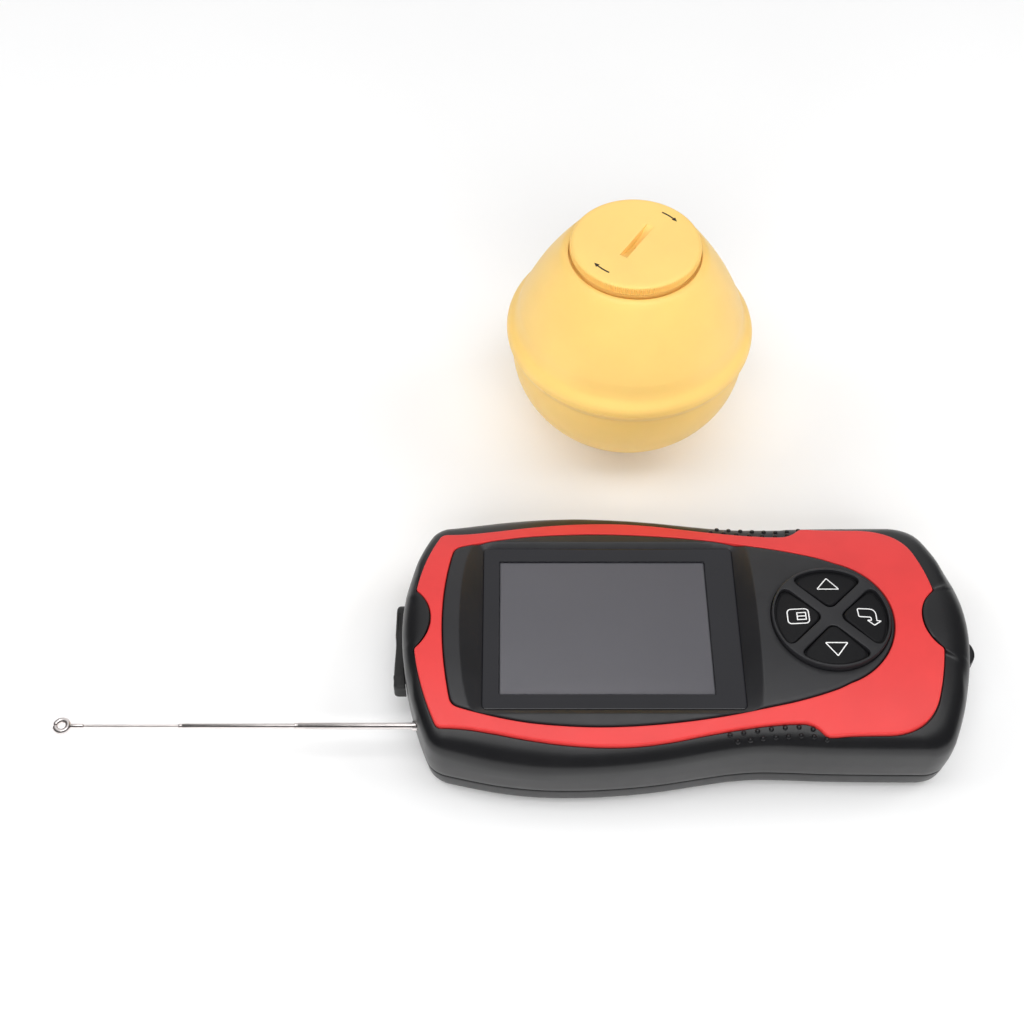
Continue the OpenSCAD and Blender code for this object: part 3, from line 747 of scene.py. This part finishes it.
def back_case(rays):
    solid = Solid()
    rings = wall_rings(solid, rays, [*FOOT, (WALL, FOOT[-1][1]), (WALL, FLOOR_TOP)])
    solid.skin(*rings)
    solid.fill(rings[0])
    solid.fill(rings[-1])
    door_x = span("battery_door")[0].x - DOOR_GAP
    cutters = [slab(DOOR_HALF + DOOR_GAP, (door_x, 90), (-1, FLOOR_TOP - 0.02)),
               slab(DOOR_TONGUE, (door_x, 60), (0.6, FLOOR_TOP - 0.01)),
               slab(BAY_HALF - 0.2, (BAY_X[0] + 0.1, BAY_X[1] - 0.3), (1, 3))]
    cutters += [Solid().turn(SCREW_HOLE, (x, side * y, 0), 40, closed=False)
                for x, y in SCREWS for side in (-1, 1)]
    piece("back_case_shell", solid, "case_black", stands_for=("back_case",), cutters=cutters)
    walls = Solid()
    (x0, x1), half, outer = BAY_X, BAY_HALF, BAY_HALF + BAY_WALL
    for low, high in (((x0 - BAY_WALL, -outer), (x0, outer)), ((x0, -outer), (x1, -half)),
                      ((x1, -outer), (x1 + BAY_WALL, outer)), ((x0, half), (x1, outer))):
        walls.cuboid((*low, FLOOR_TOP + 0.1), (*high, BAY_TOP))
    piece("battery_bay_walls", walls, "case_black")


GROOVES = dict(count=5, first=7, pitch=2.4, half=7, shrink=0.9, radius=0.6)


def battery_door():
    low, high = span("battery_door")

    def door_field(inset):
        def field(x, y):
            sides = smooth_max(np.abs(y) - DOOR_HALF, low.x - x, 0.5)
            return smooth_max(case_field(x, y) + inset, sides, 0.3)
        return field

    rays = Rays(low.x + 12, high.x - 12, 300, door_field(0))
    solid = Solid()
    rows = [(inset, z) for inset, z in FOOT if z < 1.7] + [(1.1, 1.8)]
    rings = [solid.ring(rays.loop(door_field(inset), -0.12 if z < 0.1 else 0), z)
             for inset, z in rows]
    solid.skin(*rings)
    solid.fill(rings[0])
    solid.fill(rings[-1])
    grooves = []
    for k in range(GROOVES["count"]):
        half = GROOVES["half"] - GROOVES["shrink"] * k
        x = low.x + GROOVES["first"] + GROOVES["pitch"] * k
        grooves.append(Solid().tube([(x, y, -0.15) for y in (-half, half)], GROOVES["radius"]))
    piece("battery_door_panel", solid, "case_black", "battery_door",
          stands_for=("battery_door",), cutters=grooves)


# ---------- face ----------

# How an edge of the ring rounds over: inset and drop
EDGE = [(0.0, 0.3), (0.03, 0.17), (0.1, 0.07), (0.2, 0.015), (0.32, 0.0), (0.7, 0.0)]


def face_ring(rays):
    solid = Solid()
    outer_rows, inner_rows = [], []
    nose = Rays(-40, 30, 560, panel_field)
    for inset, drop in [(0, 1.6), *EDGE]:
        edge = rays.loop(ring_field, -inset)
        outer_rows.append(solid.ring(edge, crown(edge[:, 1]) - drop))
        edge = nose.loop(panel_field, inset)
        inner_rows.append(solid.ring(edge, crown(edge[:, 1]) - drop))
    solid.skin(*outer_rows)
    solid.skin(*inner_rows)
    solid.fill(outer_rows[-1], [inner_rows[-1]],
               grid((-62, 60), (-31, 31), 1.1,
                    lambda x, y: (ring_field(x, y) < -1.1) & (panel_field(x, y) > 1.1)),
               lambda x, y: crown(y))
    solid.fill(outer_rows[0], [inner_rows[0]])
    piece("face_ring_trim", solid, "face_red", stands_for=("face_ring",))


def grid(across, along, pitch, wanted):
    """Staggered points of a region."""
    xs = np.arange(across[0], across[1], pitch)
    ys = np.arange(along[0], along[1], pitch * 0.87)
    x, y = np.meshgrid(xs, ys)
    x = x + pitch / 2 * (np.arange(len(ys)) % 2)[:, None]
    points = np.stack([x.ravel(), y.ravel()], axis=1)
    return points[wanted(points[:, 0], points[:, 1])]


lens_low, lens_high = span("screen_lens")
RIM = 0.1                        # flat round the lens before its slopes begin
SINK = lens_high.z - 0.1         # foot of the slopes down to the lens
SLOPES = (0.672, 0.911, 0.566)   # rise of the aerial end's, the keypad end's and the long slopes
BOW = (0.55, 0.9)                # how much the two ends' slopes steepen towards the long sides
PAD_RADIUS, PAD_RISE = 14, 0.75
pad_centre = ((span("key_menu")[0].x + span("key_enter")[1].x) / 2, 0)
pad_top = face_z + PAD_RISE


def recess(x, y):
    """Height of the slopes that run down to the screen."""
    flat = (crown(y) - face_z) / (face_z - SINK)
    left = (lens_low.x - RIM - x) * SLOPES[0] * (1 + BOW[0] * flat)
    right = (x - lens_high.x - RIM) * SLOPES[1] * (1 + BOW[1] * flat)
    long_side = (np.abs(y) - lens_high.y - RIM) * SLOPES[2]
    return SINK + np.maximum(0, smooth_max(smooth_max(left, right, 0.2), long_side, 0.3))


def panel_height(x, y):
    """The crowned face or the slopes, whichever is lower."""
    return -smooth_max(-crown(y), -recess(x, y), 0.12)


def screen_bezel():
    solid = Solid()
    rays = Rays(-40, 30, 560, panel_field)
    outer = []
    for inset, drop in [(0, 1.5), (0, 0.26), (0.05, 0.12), (0.13, 0.04), (0.26, 0)]:
        edge = rays.loop(panel_field, -GAP - inset)
        outer.append(solid.ring(edge, panel_height(*edge.T) - drop))
    window = []
    for grow, drop in ((0.2, 0), (0.13, 0.01), (0.06, 0.04), (0.03, 0.12), (0.03, 1.2)):
        loop = split_long(box_loop(lens_low, lens_high, grow, 1.1))
        window.append(solid.ring(loop, panel_height(*loop.T) - drop))
    seat = []
    for radius, drop in ((PAD_RADIUS + 0.2, 0), (PAD_RADIUS + 0.08, 0.04), (PAD_RADIUS, 0.2),
                         (PAD_RADIUS, 1.5)):
        loop = round_loop(pad_centre, radius, 160)
        seat.append(solid.ring(loop, crown(loop[:, 1]) - drop))
    for rows in (outer, window, seat):
        solid.skin(*rows)

    def clear(x, y, margin=0.8):
        aside = np.abs(x - (lens_low.x + lens_high.x) / 2) - (lens_high.x - lens_low.x) / 2
        off_window = np.maximum(aside, np.abs(y) - lens_high.y) > margin
        off_pad = circle(x, y, pad_centre, PAD_RADIUS) > margin
        return (panel_field(x, y) < -GAP - margin) & off_window & off_pad

    def near_crease(x, y):
        return np.abs(crown(y) - recess(x, y)) < 0.35

    points = grid((-56, 50), (-27.5, 27.5), 0.9, lambda x, y: clear(x, y) & ~near_crease(x, y))
    slope = Rays(-30, 0, 420, lambda x, y: recess(x, y) - crown(y))
    creases = [slope.loop(lambda x, y: recess(x, y) - crown(y), level)
               for level in (-0.3, -0.15, -0.05, 0.05, 0.15, 0.3)]
    creases = np.concatenate(creases)
    creases = creases[clear(*creases.T, 0.65)]
    solid.fill(outer[-1], [window[0], seat[0]], np.concatenate([points, creases]), panel_height)
    solid.fill(outer[0], [window[-1], seat[-1]])
    keypad_disc(solid)
    piece("bezel_panel", solid, "panel_grey", stands_for=("screen_bezel",))


WEB = 3.0           # width of the bars between the keys
KEY_REACH = 12.95
KEY_CORNER = 2.2
KEY_CLEARANCE = 0.26


def key_field(x, y):
    """The outline of one key, along +X from the keypad's centre, with rounded corners."""
    up, down = (y - x) / math.sqrt(2) + WEB / 2, (-y - x) / math.sqrt(2) + WEB / 2
    return smooth_max(smooth_max(up, down, KEY_CORNER), np.hypot(x, y) - KEY_REACH, KEY_CORNER)


def key_loops(angle, *levels):
    rays = Rays(4.2, 9.5, 150, key_field)
    turn = np.array([[math.cos(angle), math.sin(angle)], [-math.sin(angle), math.cos(angle)]])
    return [rays.loop(key_field, level) @ turn + pad_centre for level in levels]


QUARTERS = {"key_enter": 0, "key_up": math.pi / 2, "key_menu": math.pi, "key_down": -math.pi / 2}


def keypad_disc(solid):
    """The raised disc with a well for each key."""
    rows = []
    for inset, drop in ((0, 2.2), (0, 0.4), (0.04, 0.22), (0.12, 0.09), (0.25, 0.02), (0.4, 0)):
        loop = round_loop(pad_centre, PAD_RADIUS - 0.12 - inset, 160)
        rows.append(solid.ring(loop, pad_top - drop))
    solid.skin(*rows)
    solid.fill(rows[0])
    wells = []
    for angle in QUARTERS.values():
        rows_down = ((0.16, 0), (0.1, 0.015), (0.04, 0.05), (0, 0.14), (0, 1.95))
        loops = key_loops(angle, *(KEY_CLEARANCE + more for more, _ in rows_down))
        well = [solid.ring(loop, pad_top - drop) for loop, (_, drop) in zip(loops, rows_down)]
        solid.skin(*well)
        solid.fill(well[-1])
        wells.append(well[0])
    solid.fill(rows[-1], wells)


KEY_CROWN = 90
key_top = span("key_up")[1].z


def key_height(x, y):
    return key_top - (np.square(x - pad_centre[0]) + np.square(y)) / (2 * KEY_CROWN)


# How a key's edge rounds over: level of its outline and drop
KEY_EDGE = ((0, 0.5), (-0.05, 0.28), (-0.17, 0.11), (-0.36, 0.02), (-0.55, 0), (-0.9, 0))


def keys():
    for name, angle in QUARTERS.items():
        solid = Solid()
        loops = key_loops(angle, *(level for level, _ in KEY_EDGE))
        rows = [solid.ring(loop, key_height(*loop.T) - drop)
                for loop, (_, drop) in zip(loops, KEY_EDGE)]
        skirt = solid.ring(loops[0], pad_top - 0.8)
        solid.skin(skirt, *rows)
        solid.fill(skirt)
        way = np.array([math.cos(angle), math.sin(angle)])
        side = np.array([-way[1], way[0]])

        def within(x, y):
            offset = np.stack([x - pad_centre[0], y - pad_centre[1]], axis=-1)
            return key_field(offset @ way, offset @ side) < -1.3

        solid.fill(rows[-1], (), grid((20, 50), (-15, 15), 1.0, within), key_height)
        piece(name + "_cap", solid, "key_black", name, stands_for=(name,))
        icon = Solid()
        for line, closed in ICONS[name]:
            ribbon(icon, line, closed=closed)
        piece(name + "_icon", icon, "icon_white", name)


def ribbon(solid, line, width=0.25, closed=True, height=key_height, proud=0.035, rooted=0.03):
    """A printed stroke along a line of points, just proud of a surface."""
    line = np.array(line)
    on, back = np.roll(line, -1, axis=0), np.roll(line, 1, axis=0)
    if not closed:
        on[-1], back[0] = 2 * line[-1] - line[-2], 2 * line[0] - line[1]
    ahead = (on - line) / np.hypot(*(on - line).T)[:, None]
    behind = (line - back) / np.hypot(*(line - back).T)[:, None]
    middle_way = ahead + behind
    middle_way /= np.hypot(*middle_way.T)[:, None]
    normal = np.stack([-middle_way[:, 1], middle_way[:, 0]], axis=1)
    stretch = np.clip((middle_way * ahead).sum(axis=1), 0.35, 1)
    offset = normal * (width / 2 / stretch)[:, None]
    rails = []
    for edge, lift in ((line + offset, -rooted), (line + offset, proud), (line - offset, proud),
                       (line - offset, -rooted)):
        rails.append(solid.ring(edge, height(*edge.T) + lift))
    count = len(line)
    for a, b in zip(rails, rails[1:] + rails[:1]):
        for k in range(count if closed else count - 1):
            solid.faces.append((a[k], a[(k + 1) % count], b[(k + 1) % count], b[k]))
    if not closed:
        solid.faces.append(tuple(rail[0] for rail in rails))
        solid.faces.append(tuple(rail[-1] for rail in rails))


# The strokes of each key's icon: a line of points, and whether it is closed
ICONS = {
    "key_up": [(rounded([(32.5, 7.65, 0.1), (37.6, 7.65, 0.1), (35.05, 10.9, 0.1)]), True)],
    "key_down": [(rounded([(32.7, -7.3, 0.1), (37.8, -7.3, 0.1), (35.25, -10.65, 0.1)]), True)],
    "key_menu": [(box_loop((24.8, -2.0), (29.7, 2.0), 0, 0.9), True),
                 ([(27.0, -0.95), (29.0, -0.95), (29.0, 0.95), (27.0, 0.95)], True),
                 ([(27.1, 0.0), (28.9, 0.0)], False)],
    "key_enter": [(rounded([(41.3, -0.2, 0.35), (41.15, 2.05, 0.35), (45.4, 2.1, 1.35),
                            (45.45, -1.05, 0.05), (46.45, -1.1, 0.05), (44.7, -2.35, 0.1),
                            (43.2, -1.1, 0.05), (44.15, -1.05, 0.05), (44.15, -0.2, 0.35)]), True)],
}


# ---------- screen ----------

lcd_active = (Vector((-42.03, -18.36)), Vector((6.93, 18.36)))
PRINTED_RIM = Vector((0.3, 0.3))        # clear glass round the active area
GLASS_THICK, FILM_THICK = 1.2, 0.3


def screen():
    window = (lcd_active[0] - PRINTED_RIM, lcd_active[1] + PRINTED_RIM)
    top = lens_high.z
    glass = Solid()
    outer = [glass.ring(split_long(box_loop(lens_low, lens_high, -inset, 1.0)), top - drop)
             for inset, drop in ((0, GLASS_THICK), (0, 0.16), (0.05, 0.05), (0.16, 0), (0.5, 0))]
    hole = [glass.ring(box_loop(*window, 0, 0.3), top - drop) for drop in (0, 0.25, GLASS_THICK)]
    glass.skin(*outer)
    glass.skin(*hole)
    glass.fill(outer[-1], [hole[0]])
    glass.fill(outer[0], [hole[-1]])
    piece("lens_border", glass, "screen_glass", stands_for=("screen_lens",))
    film = Solid()
    film.bar([film.ring(box_loop(*window, -0.01, 0.3), top - drop) for drop in (FILM_THICK, 0)])
    piece("lens_window", film, "clear_film")
    low, high = span("lcd_module")
    panel = Solid()
    panel.bar([panel.ring(box_loop(low, high, -inset, 0.6), z)
               for inset, z in ((0.15, low.z), (0, low.z + 0.15), (0, high.z - 0.2),
                                (0.1, high.z - 0.05), (0.3, high.z))])
    piece("display_body", panel, "lcd_frame", stands_for=("lcd_module",))
    active = Solid()
    face = top - FILM_THICK - 0.05
    active.bar([active.ring(box_loop(*lcd_active, -inset, 0.1), z)
                for inset, z in ((0, high.z - 0.05), (0, face - 0.03), (0.04, face))])
    piece("display_active", active, "display_grey")


# ---------- aerial ----------

SLEEVES = {"aerial_tube_1": (0.75, 0.62), "aerial_tube_2": (0.57, 0.38)}    # radius and bore
ROD_RADIUS = 0.34
TIP_COLLAR, TIP_RADIUS = 3.0, 0.55
TIP_GAP = math.radians(20)      # half of the opening in the tip's ring, on the collar's side


def aerial():
    axis = middle("aerial_tube_1")
    place = (0, axis.y, axis.z)
    for number, (node, (radius, bore)) in enumerate(SLEEVES.items()):
        low, high = (end.x for end in span(node))
        tube = Solid()
        lip = [(bore, low + 0.02), (radius - 0.1, low), (radius - 0.03, low + 0.07),
               (radius, low + 0.2)]
        neck = [(radius, low + 0.55), (radius - 0.05, low + 0.65), (radius - 0.05, low + 0.95),
                (radius, low + 1.05)]
        tube.turn([*lip, *neck, (radius, high - 0.1), (radius - 0.1, high), (bore, high)],
                  place, 40, axis="X")
        piece(f"{node}_sleeve", tube, "aerial_steel", f"aerial_{number + 1}", stands_for=(node,))
    low, high = (end.x for end in span("aerial_rod"))
    profile = [(ROD_RADIUS - 0.04, low), (ROD_RADIUS, low + 0.05), (ROD_RADIUS, high - 0.05),
               (ROD_RADIUS - 0.04, high)]
    rod = Solid().turn(profile, place, 28, "X", closed=False)
    piece("aerial_rod_wire", rod, "aerial_steel", "aerial_3", stands_for=("aerial_rod",))
    low, high = span("aerial_tip")
    tip = Solid()
    tip.turn([(0.2, high.x), (0.36, high.x - 0.05), (TIP_RADIUS, high.x - 0.4),
              (TIP_RADIUS, high.x - TIP_COLLAR + 0.3), (0.46, high.x - TIP_COLLAR - 0.35)],
             place, 32, axis="X", closed=False)
    wire = (high.z - low.z) / 2
    reach = (high.y - low.y) / 2 - wire
    centre = low.x + wire + reach
    turns = np.linspace(-math.pi + TIP_GAP, math.pi - TIP_GAP, 49)
    tip.tube([(centre + reach * math.cos(a), axis.y + reach * math.sin(a), axis.z)
              for a in turns], wire)
    piece("aerial_tip_ring", tip, "aerial_steel", "aerial_3", stands_for=("aerial_tip",))


# ---------- socket cover ----------

# Sections of the cover along Y: place, outer face's x, half height
COVER = [(12.9, -66.4, 0.9), (12.8, -66.85, 1.4), (12.4, -67.1, 1.9), (11.7, -67.25, 2.3),
         (10.7, -67.3, 2.5), (7.4, -67.3, 2.5), (4.4, -67.3, 2.5), (3.4, -67.25, 2.42),
         (2.4, -67.15, 2.2), (1.4, -67.1, 2.1), (0.2, -67.1, 2.1), (-1.2, -67.12, 2.14),
         (-3.2, -67.16, 2.26), (-5.2, -67.2, 2.38), (-7.0, -67.2, 2.46), (-7.6, -67.3, 2.56),
         (-7.9, -67.3, 2.56), (-8.3, -67.2, 2.46), (-9.2, -67.18, 2.4), (-10.1, -67.15, 2.38),
         (-10.6, -67.0, 2.25), (-10.84, -66.75, 1.95), (-10.9, -66.4, 1.5)]
COVER_CORNER = 0.75


def socket_cover():
    """One rubber strap: its far half is held in the wall, and a neck joins it to its near half."""
    mid_z = SOCKET[1]
    solid = Solid()
    rings = []
    for y, outer, half in COVER:
        inner = case_low.x + END_RADII[0] - math.sqrt((END_RADII[0] + 0.1) ** 2 - y * y)
        corner = min(COVER_CORNER, half * 0.45, (inner - outer) * 0.45)
        loop = rounded([(outer, mid_z - half, corner), (inner, mid_z - half, corner * 0.3),
                        (inner, mid_z + half, corner * 0.3), (outer, mid_z + half, corner)], 3)
        rings.append(solid.row((x, y, z) for x, z in loop))
    solid.bar(rings)
    # The finger recess in its face, and a shallow one along its top edge
    recesses = Solid()
    recesses.tube([(-67.5, y, mid_z) for y in (6.0, 7.4, 8.8, 10.2)], 1.15, ends=5)
    recesses.tube([(-66.5, y, mid_z + 2.66) for y in (5.4, 7.4, 9.6)], 0.42, ends=4)
    strap = piece("socket_cover_strap", solid, "seal_rubber", cutters=[recesses], ride=False,
                  stands_for=("cover_strap", "port_cover"))
    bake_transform(strap)
    stem = Solid().tube([(x, SOCKET[0], mid_z) for x in (-65.2, -64.0, -63.6)], 1.25)
    piece("socket_cover_stem", stem, "seal_rubber", "port_cover")


# ---------- sonar float ----------

FLOAT = middle("float_cap")
upper_low, upper_high = span("float_upper_shell")
lower_low, _ = span("float_lower_shell")
float_radius = (upper_high.x - upper_low.x) / 2 - 0.01     # just inside the CAD box
split_z = upper_low.z
SHELL = 2.2
FLOAT_POINTS = 288


def arc_radius(z, arc, inset=0.0):
    """How far from the float's axis an arc is at this height: its centre's radius and height,
    and its own radius."""
    return arc[0] + math.sqrt((arc[2] - inset) ** 2 - (z - arc[1]) ** 2)


DOME = (-64, -2.7, 102)
BOWL = (2.4, 27.1, 28.7)


def float_shells():
    centre = (FLOAT.x, FLOAT.y, 0)
    rim = float_radius
    lap = rim - 3.6         # inner edge of the joint between the shells
    ridge = [(0.12, 0.02), (0, 0.16), (0.03, 0.8), (0.3, 1.65), (0.8, 2.35), (1.4, 2.85),
             (1.95, 3.35), (2.35, 4.0), (2.7, 4.9), (3.1, 6.0)]
    ridge = [(rim - inset, split_z + up) for inset, up in ridge]
    dome = [(arc_radius(z, DOME) - 0.28 * max(0, 1 - (z - 38) / 9), z)
            for z in np.linspace(39, 57.1, 24)]
    # The flat round the neck with a groove under the cap's edge, then the neck's inside
    top = [(18.0, 57.55), (17.6, 57.75), (17.1, upper_high.z), (16.85, upper_high.z), (16.7, 57.6),
           (16.65, 56.5), (15.6, 56.5), (15.55, 57.8), (14.9, 57.72),
           (14.7, 57.5), (14.7, 56.4), (12.5, 56.4), (12.5, 48.0), (15.4, 48.0), (15.4, 55.5)]
    inside_wall = [(arc_radius(z, DOME) - SHELL - 0.3, z) for z in np.linspace(55.5, 36, 12)]
    outline = [*ridge, *dome, *top, *inside_wall, (lap, split_z + 0.02)]
    upper = Solid().turn(outline, centre, FLOAT_POINTS)
    piece("float_dome", upper, "float_yellow", "sonar_float", stands_for=("float_upper_shell",))
    under = [(0.12, 0.02), (0.01, 0.16), (0.1, 0.9), (0.45, 1.7), (0.95, 2.35), (1.4, 2.9),
             (1.62, 3.8)]
    under = [(rim - inset, split_z - down) for inset, down in under]
    bowl = [(arc_radius(z, BOWL) - 0.4 * max(0, (z - 18) / 9), z)
            for z in np.linspace(26.6, 0.6, 30)]
    base = [(12.0, 0.2), (11.4, 0.03), (10.9, 0.0), (3, 0.0), (0.3, 0.0)]
    inner = [(0.3, SHELL), (11.5, SHELL)]
    inner += [(arc_radius(z, BOWL, SHELL) - 0.3, z) for z in np.linspace(4.5, 31, 14)]
    outline = [*under, *bowl, *base, *inner, (lap, split_z - 0.02)]
    lower = Solid().turn(outline, centre, FLOAT_POINTS)
    piece("float_bowl", lower, "float_yellow", "sonar_float", stands_for=("float_lower_shell",))


CAP_STEM, CAP_BORE, CAP_FOOT = 12.4, 10.6, 51.4     # radii, and height of the stem's end
TEETH = 190
TOOTH = 0.5
GRIP_ROWS = {7: 0.5, 8: 1, 9: 1, 10: 0.6, 11: 0.2}  # share of a tooth's depth on these rows
COIN, COIN_HALF, COIN_DEPTH = 11.6, 1.05, 2.2       # the slot is cut by a coin of this radius
COIN_SHIFT = 0.5
COIN_TURN = math.radians(57)
PRINT = 0.03                                        # the ink stands this far proud


def float_cap():
    cap_low, cap_high = span("float_cap")
    top, radius = cap_high.z - PRINT, (cap_high.x - cap_low.x) / 2
    foot = upper_high.z + 0.6
    profile = [(CAP_BORE, CAP_FOOT + 1.6), (CAP_BORE, CAP_FOOT), (CAP_STEM - 0.3, CAP_FOOT),
               (CAP_STEM, CAP_FOOT + 0.3), (CAP_STEM, foot)]
    profile += [(radius - inset, foot + up)
                for inset, up in ((0.75, 0), (0.4, 0.06), (0.1, 0.3), (0, 0.55))]
    profile += [(radius - inset, top - drop)
                for inset, drop in ((0, 0.95), (0.06, 0.75), (0.22, 0.45), (0.5, 0.2),
                                    (0.9, 0.06), (1.4, 0), (2.2, 0))]
    profile += [(6, top), (0.2, top), (0.2, CAP_FOOT + 1.6)]

    def knurled(row, size, angle):
        depth = TOOTH * GRIP_ROWS.get(row, 0)
        return size - depth * (0.5 - 0.5 * np.cos(TEETH * angle))

    cap = Solid().turn(profile, (FLOAT.x, FLOAT.y, 0), TEETH * 6, radius_at=knurled)
    along = Vector((math.cos(COIN_TURN), math.sin(COIN_TURN), 0))
    aside = Vector((-along.y, along.x, 0))
    middle_coin = Vector((FLOAT.x, FLOAT.y, top - COIN_DEPTH + COIN)) + along * COIN_SHIFT
    coin = Solid()
    coin.bar([coin.row(hoop(middle_coin + aside * side, along, Vector((0, 0, 1)), COIN, 96))
              for side in (-COIN_HALF, COIN_HALF)])
    piece("float_cap_knob", cap, "float_yellow", "cap", stands_for=("float_cap",), cutters=[coin])
    marks = Solid()
    for start in (57, 237):
        turning_arrow(marks, start, top)
    piece("float_cap_marks", marks, "ink_black", "cap")


ARROW_RADIUS, ARROW_WIDTH, ARROW_HEAD = 13.0, 0.42, 0.62


def turning_arrow(solid, start, top):
    """A printed arrow that curves clockwise round the cap, from this angle."""
    angles = np.radians(np.linspace(start, start - 17, 12))
    line = round_points(ARROW_RADIUS, angles)
    ribbon(solid, line, ARROW_WIDTH, closed=False, height=lambda x, y: top + 0 * x, proud=PRINT)
    tail, tip = math.radians(start - 16), math.radians(start - 22)
    radii = ARROW_RADIUS + ARROW_HEAD * np.array([1, 0, -1])
    loop = round_points(radii, np.array([tail, tip, tail]))
    solid.bar([solid.ring(loop, top - PRINT), solid.ring(loop, top + 0.99 * PRINT)])


def round_points(radius, angles):
    """Points at these radii and angles round the float's axis, seen from above."""
    return np.stack([FLOAT.x + radius * np.cos(angles), FLOAT.y + radius * np.sin(angles)], axis=1)


def cap_seal():
    low, high = span("cap_seal")
    thick = (high.z - low.z) / 2
    outer = (high.x - low.x) / 2
    angle = np.linspace(0, 2 * math.pi, 24, endpoint=False)
    seal = Solid()
    seal.turn([(outer - thick + thick * math.cos(a), (low.z + high.z) / 2 + thick * math.sin(a))
               for a in angle], (FLOAT.x, FLOAT.y, 0), 144)
    piece("cap_seal_ring", seal, "seal_rubber", "seal", stands_for=("cap_seal",))


# ---------- what stays as the CAD made it ----------

def dress_frame():
    for part in frame["record"]["subparts"]:
        node = frame["nodes"][part["node"]]
        if node.hide_render:
            continue
        node.data.materials.clear()
        node.data.materials.append(finish(part["material_slot"]))
        shade(node)


make_camera()
make_studio()
case_rays = Rays(-40, 40, CASE_POINTS, case_field, ring_field)
upper_case(case_rays)
case_seam(case_rays)
back_case(case_rays)
battery_door()
face_ring(case_rays)
screen_bezel()
keys()
screen()
aerial()
socket_cover()
float_shells()
float_cap()
cap_seal()
dress_frame()
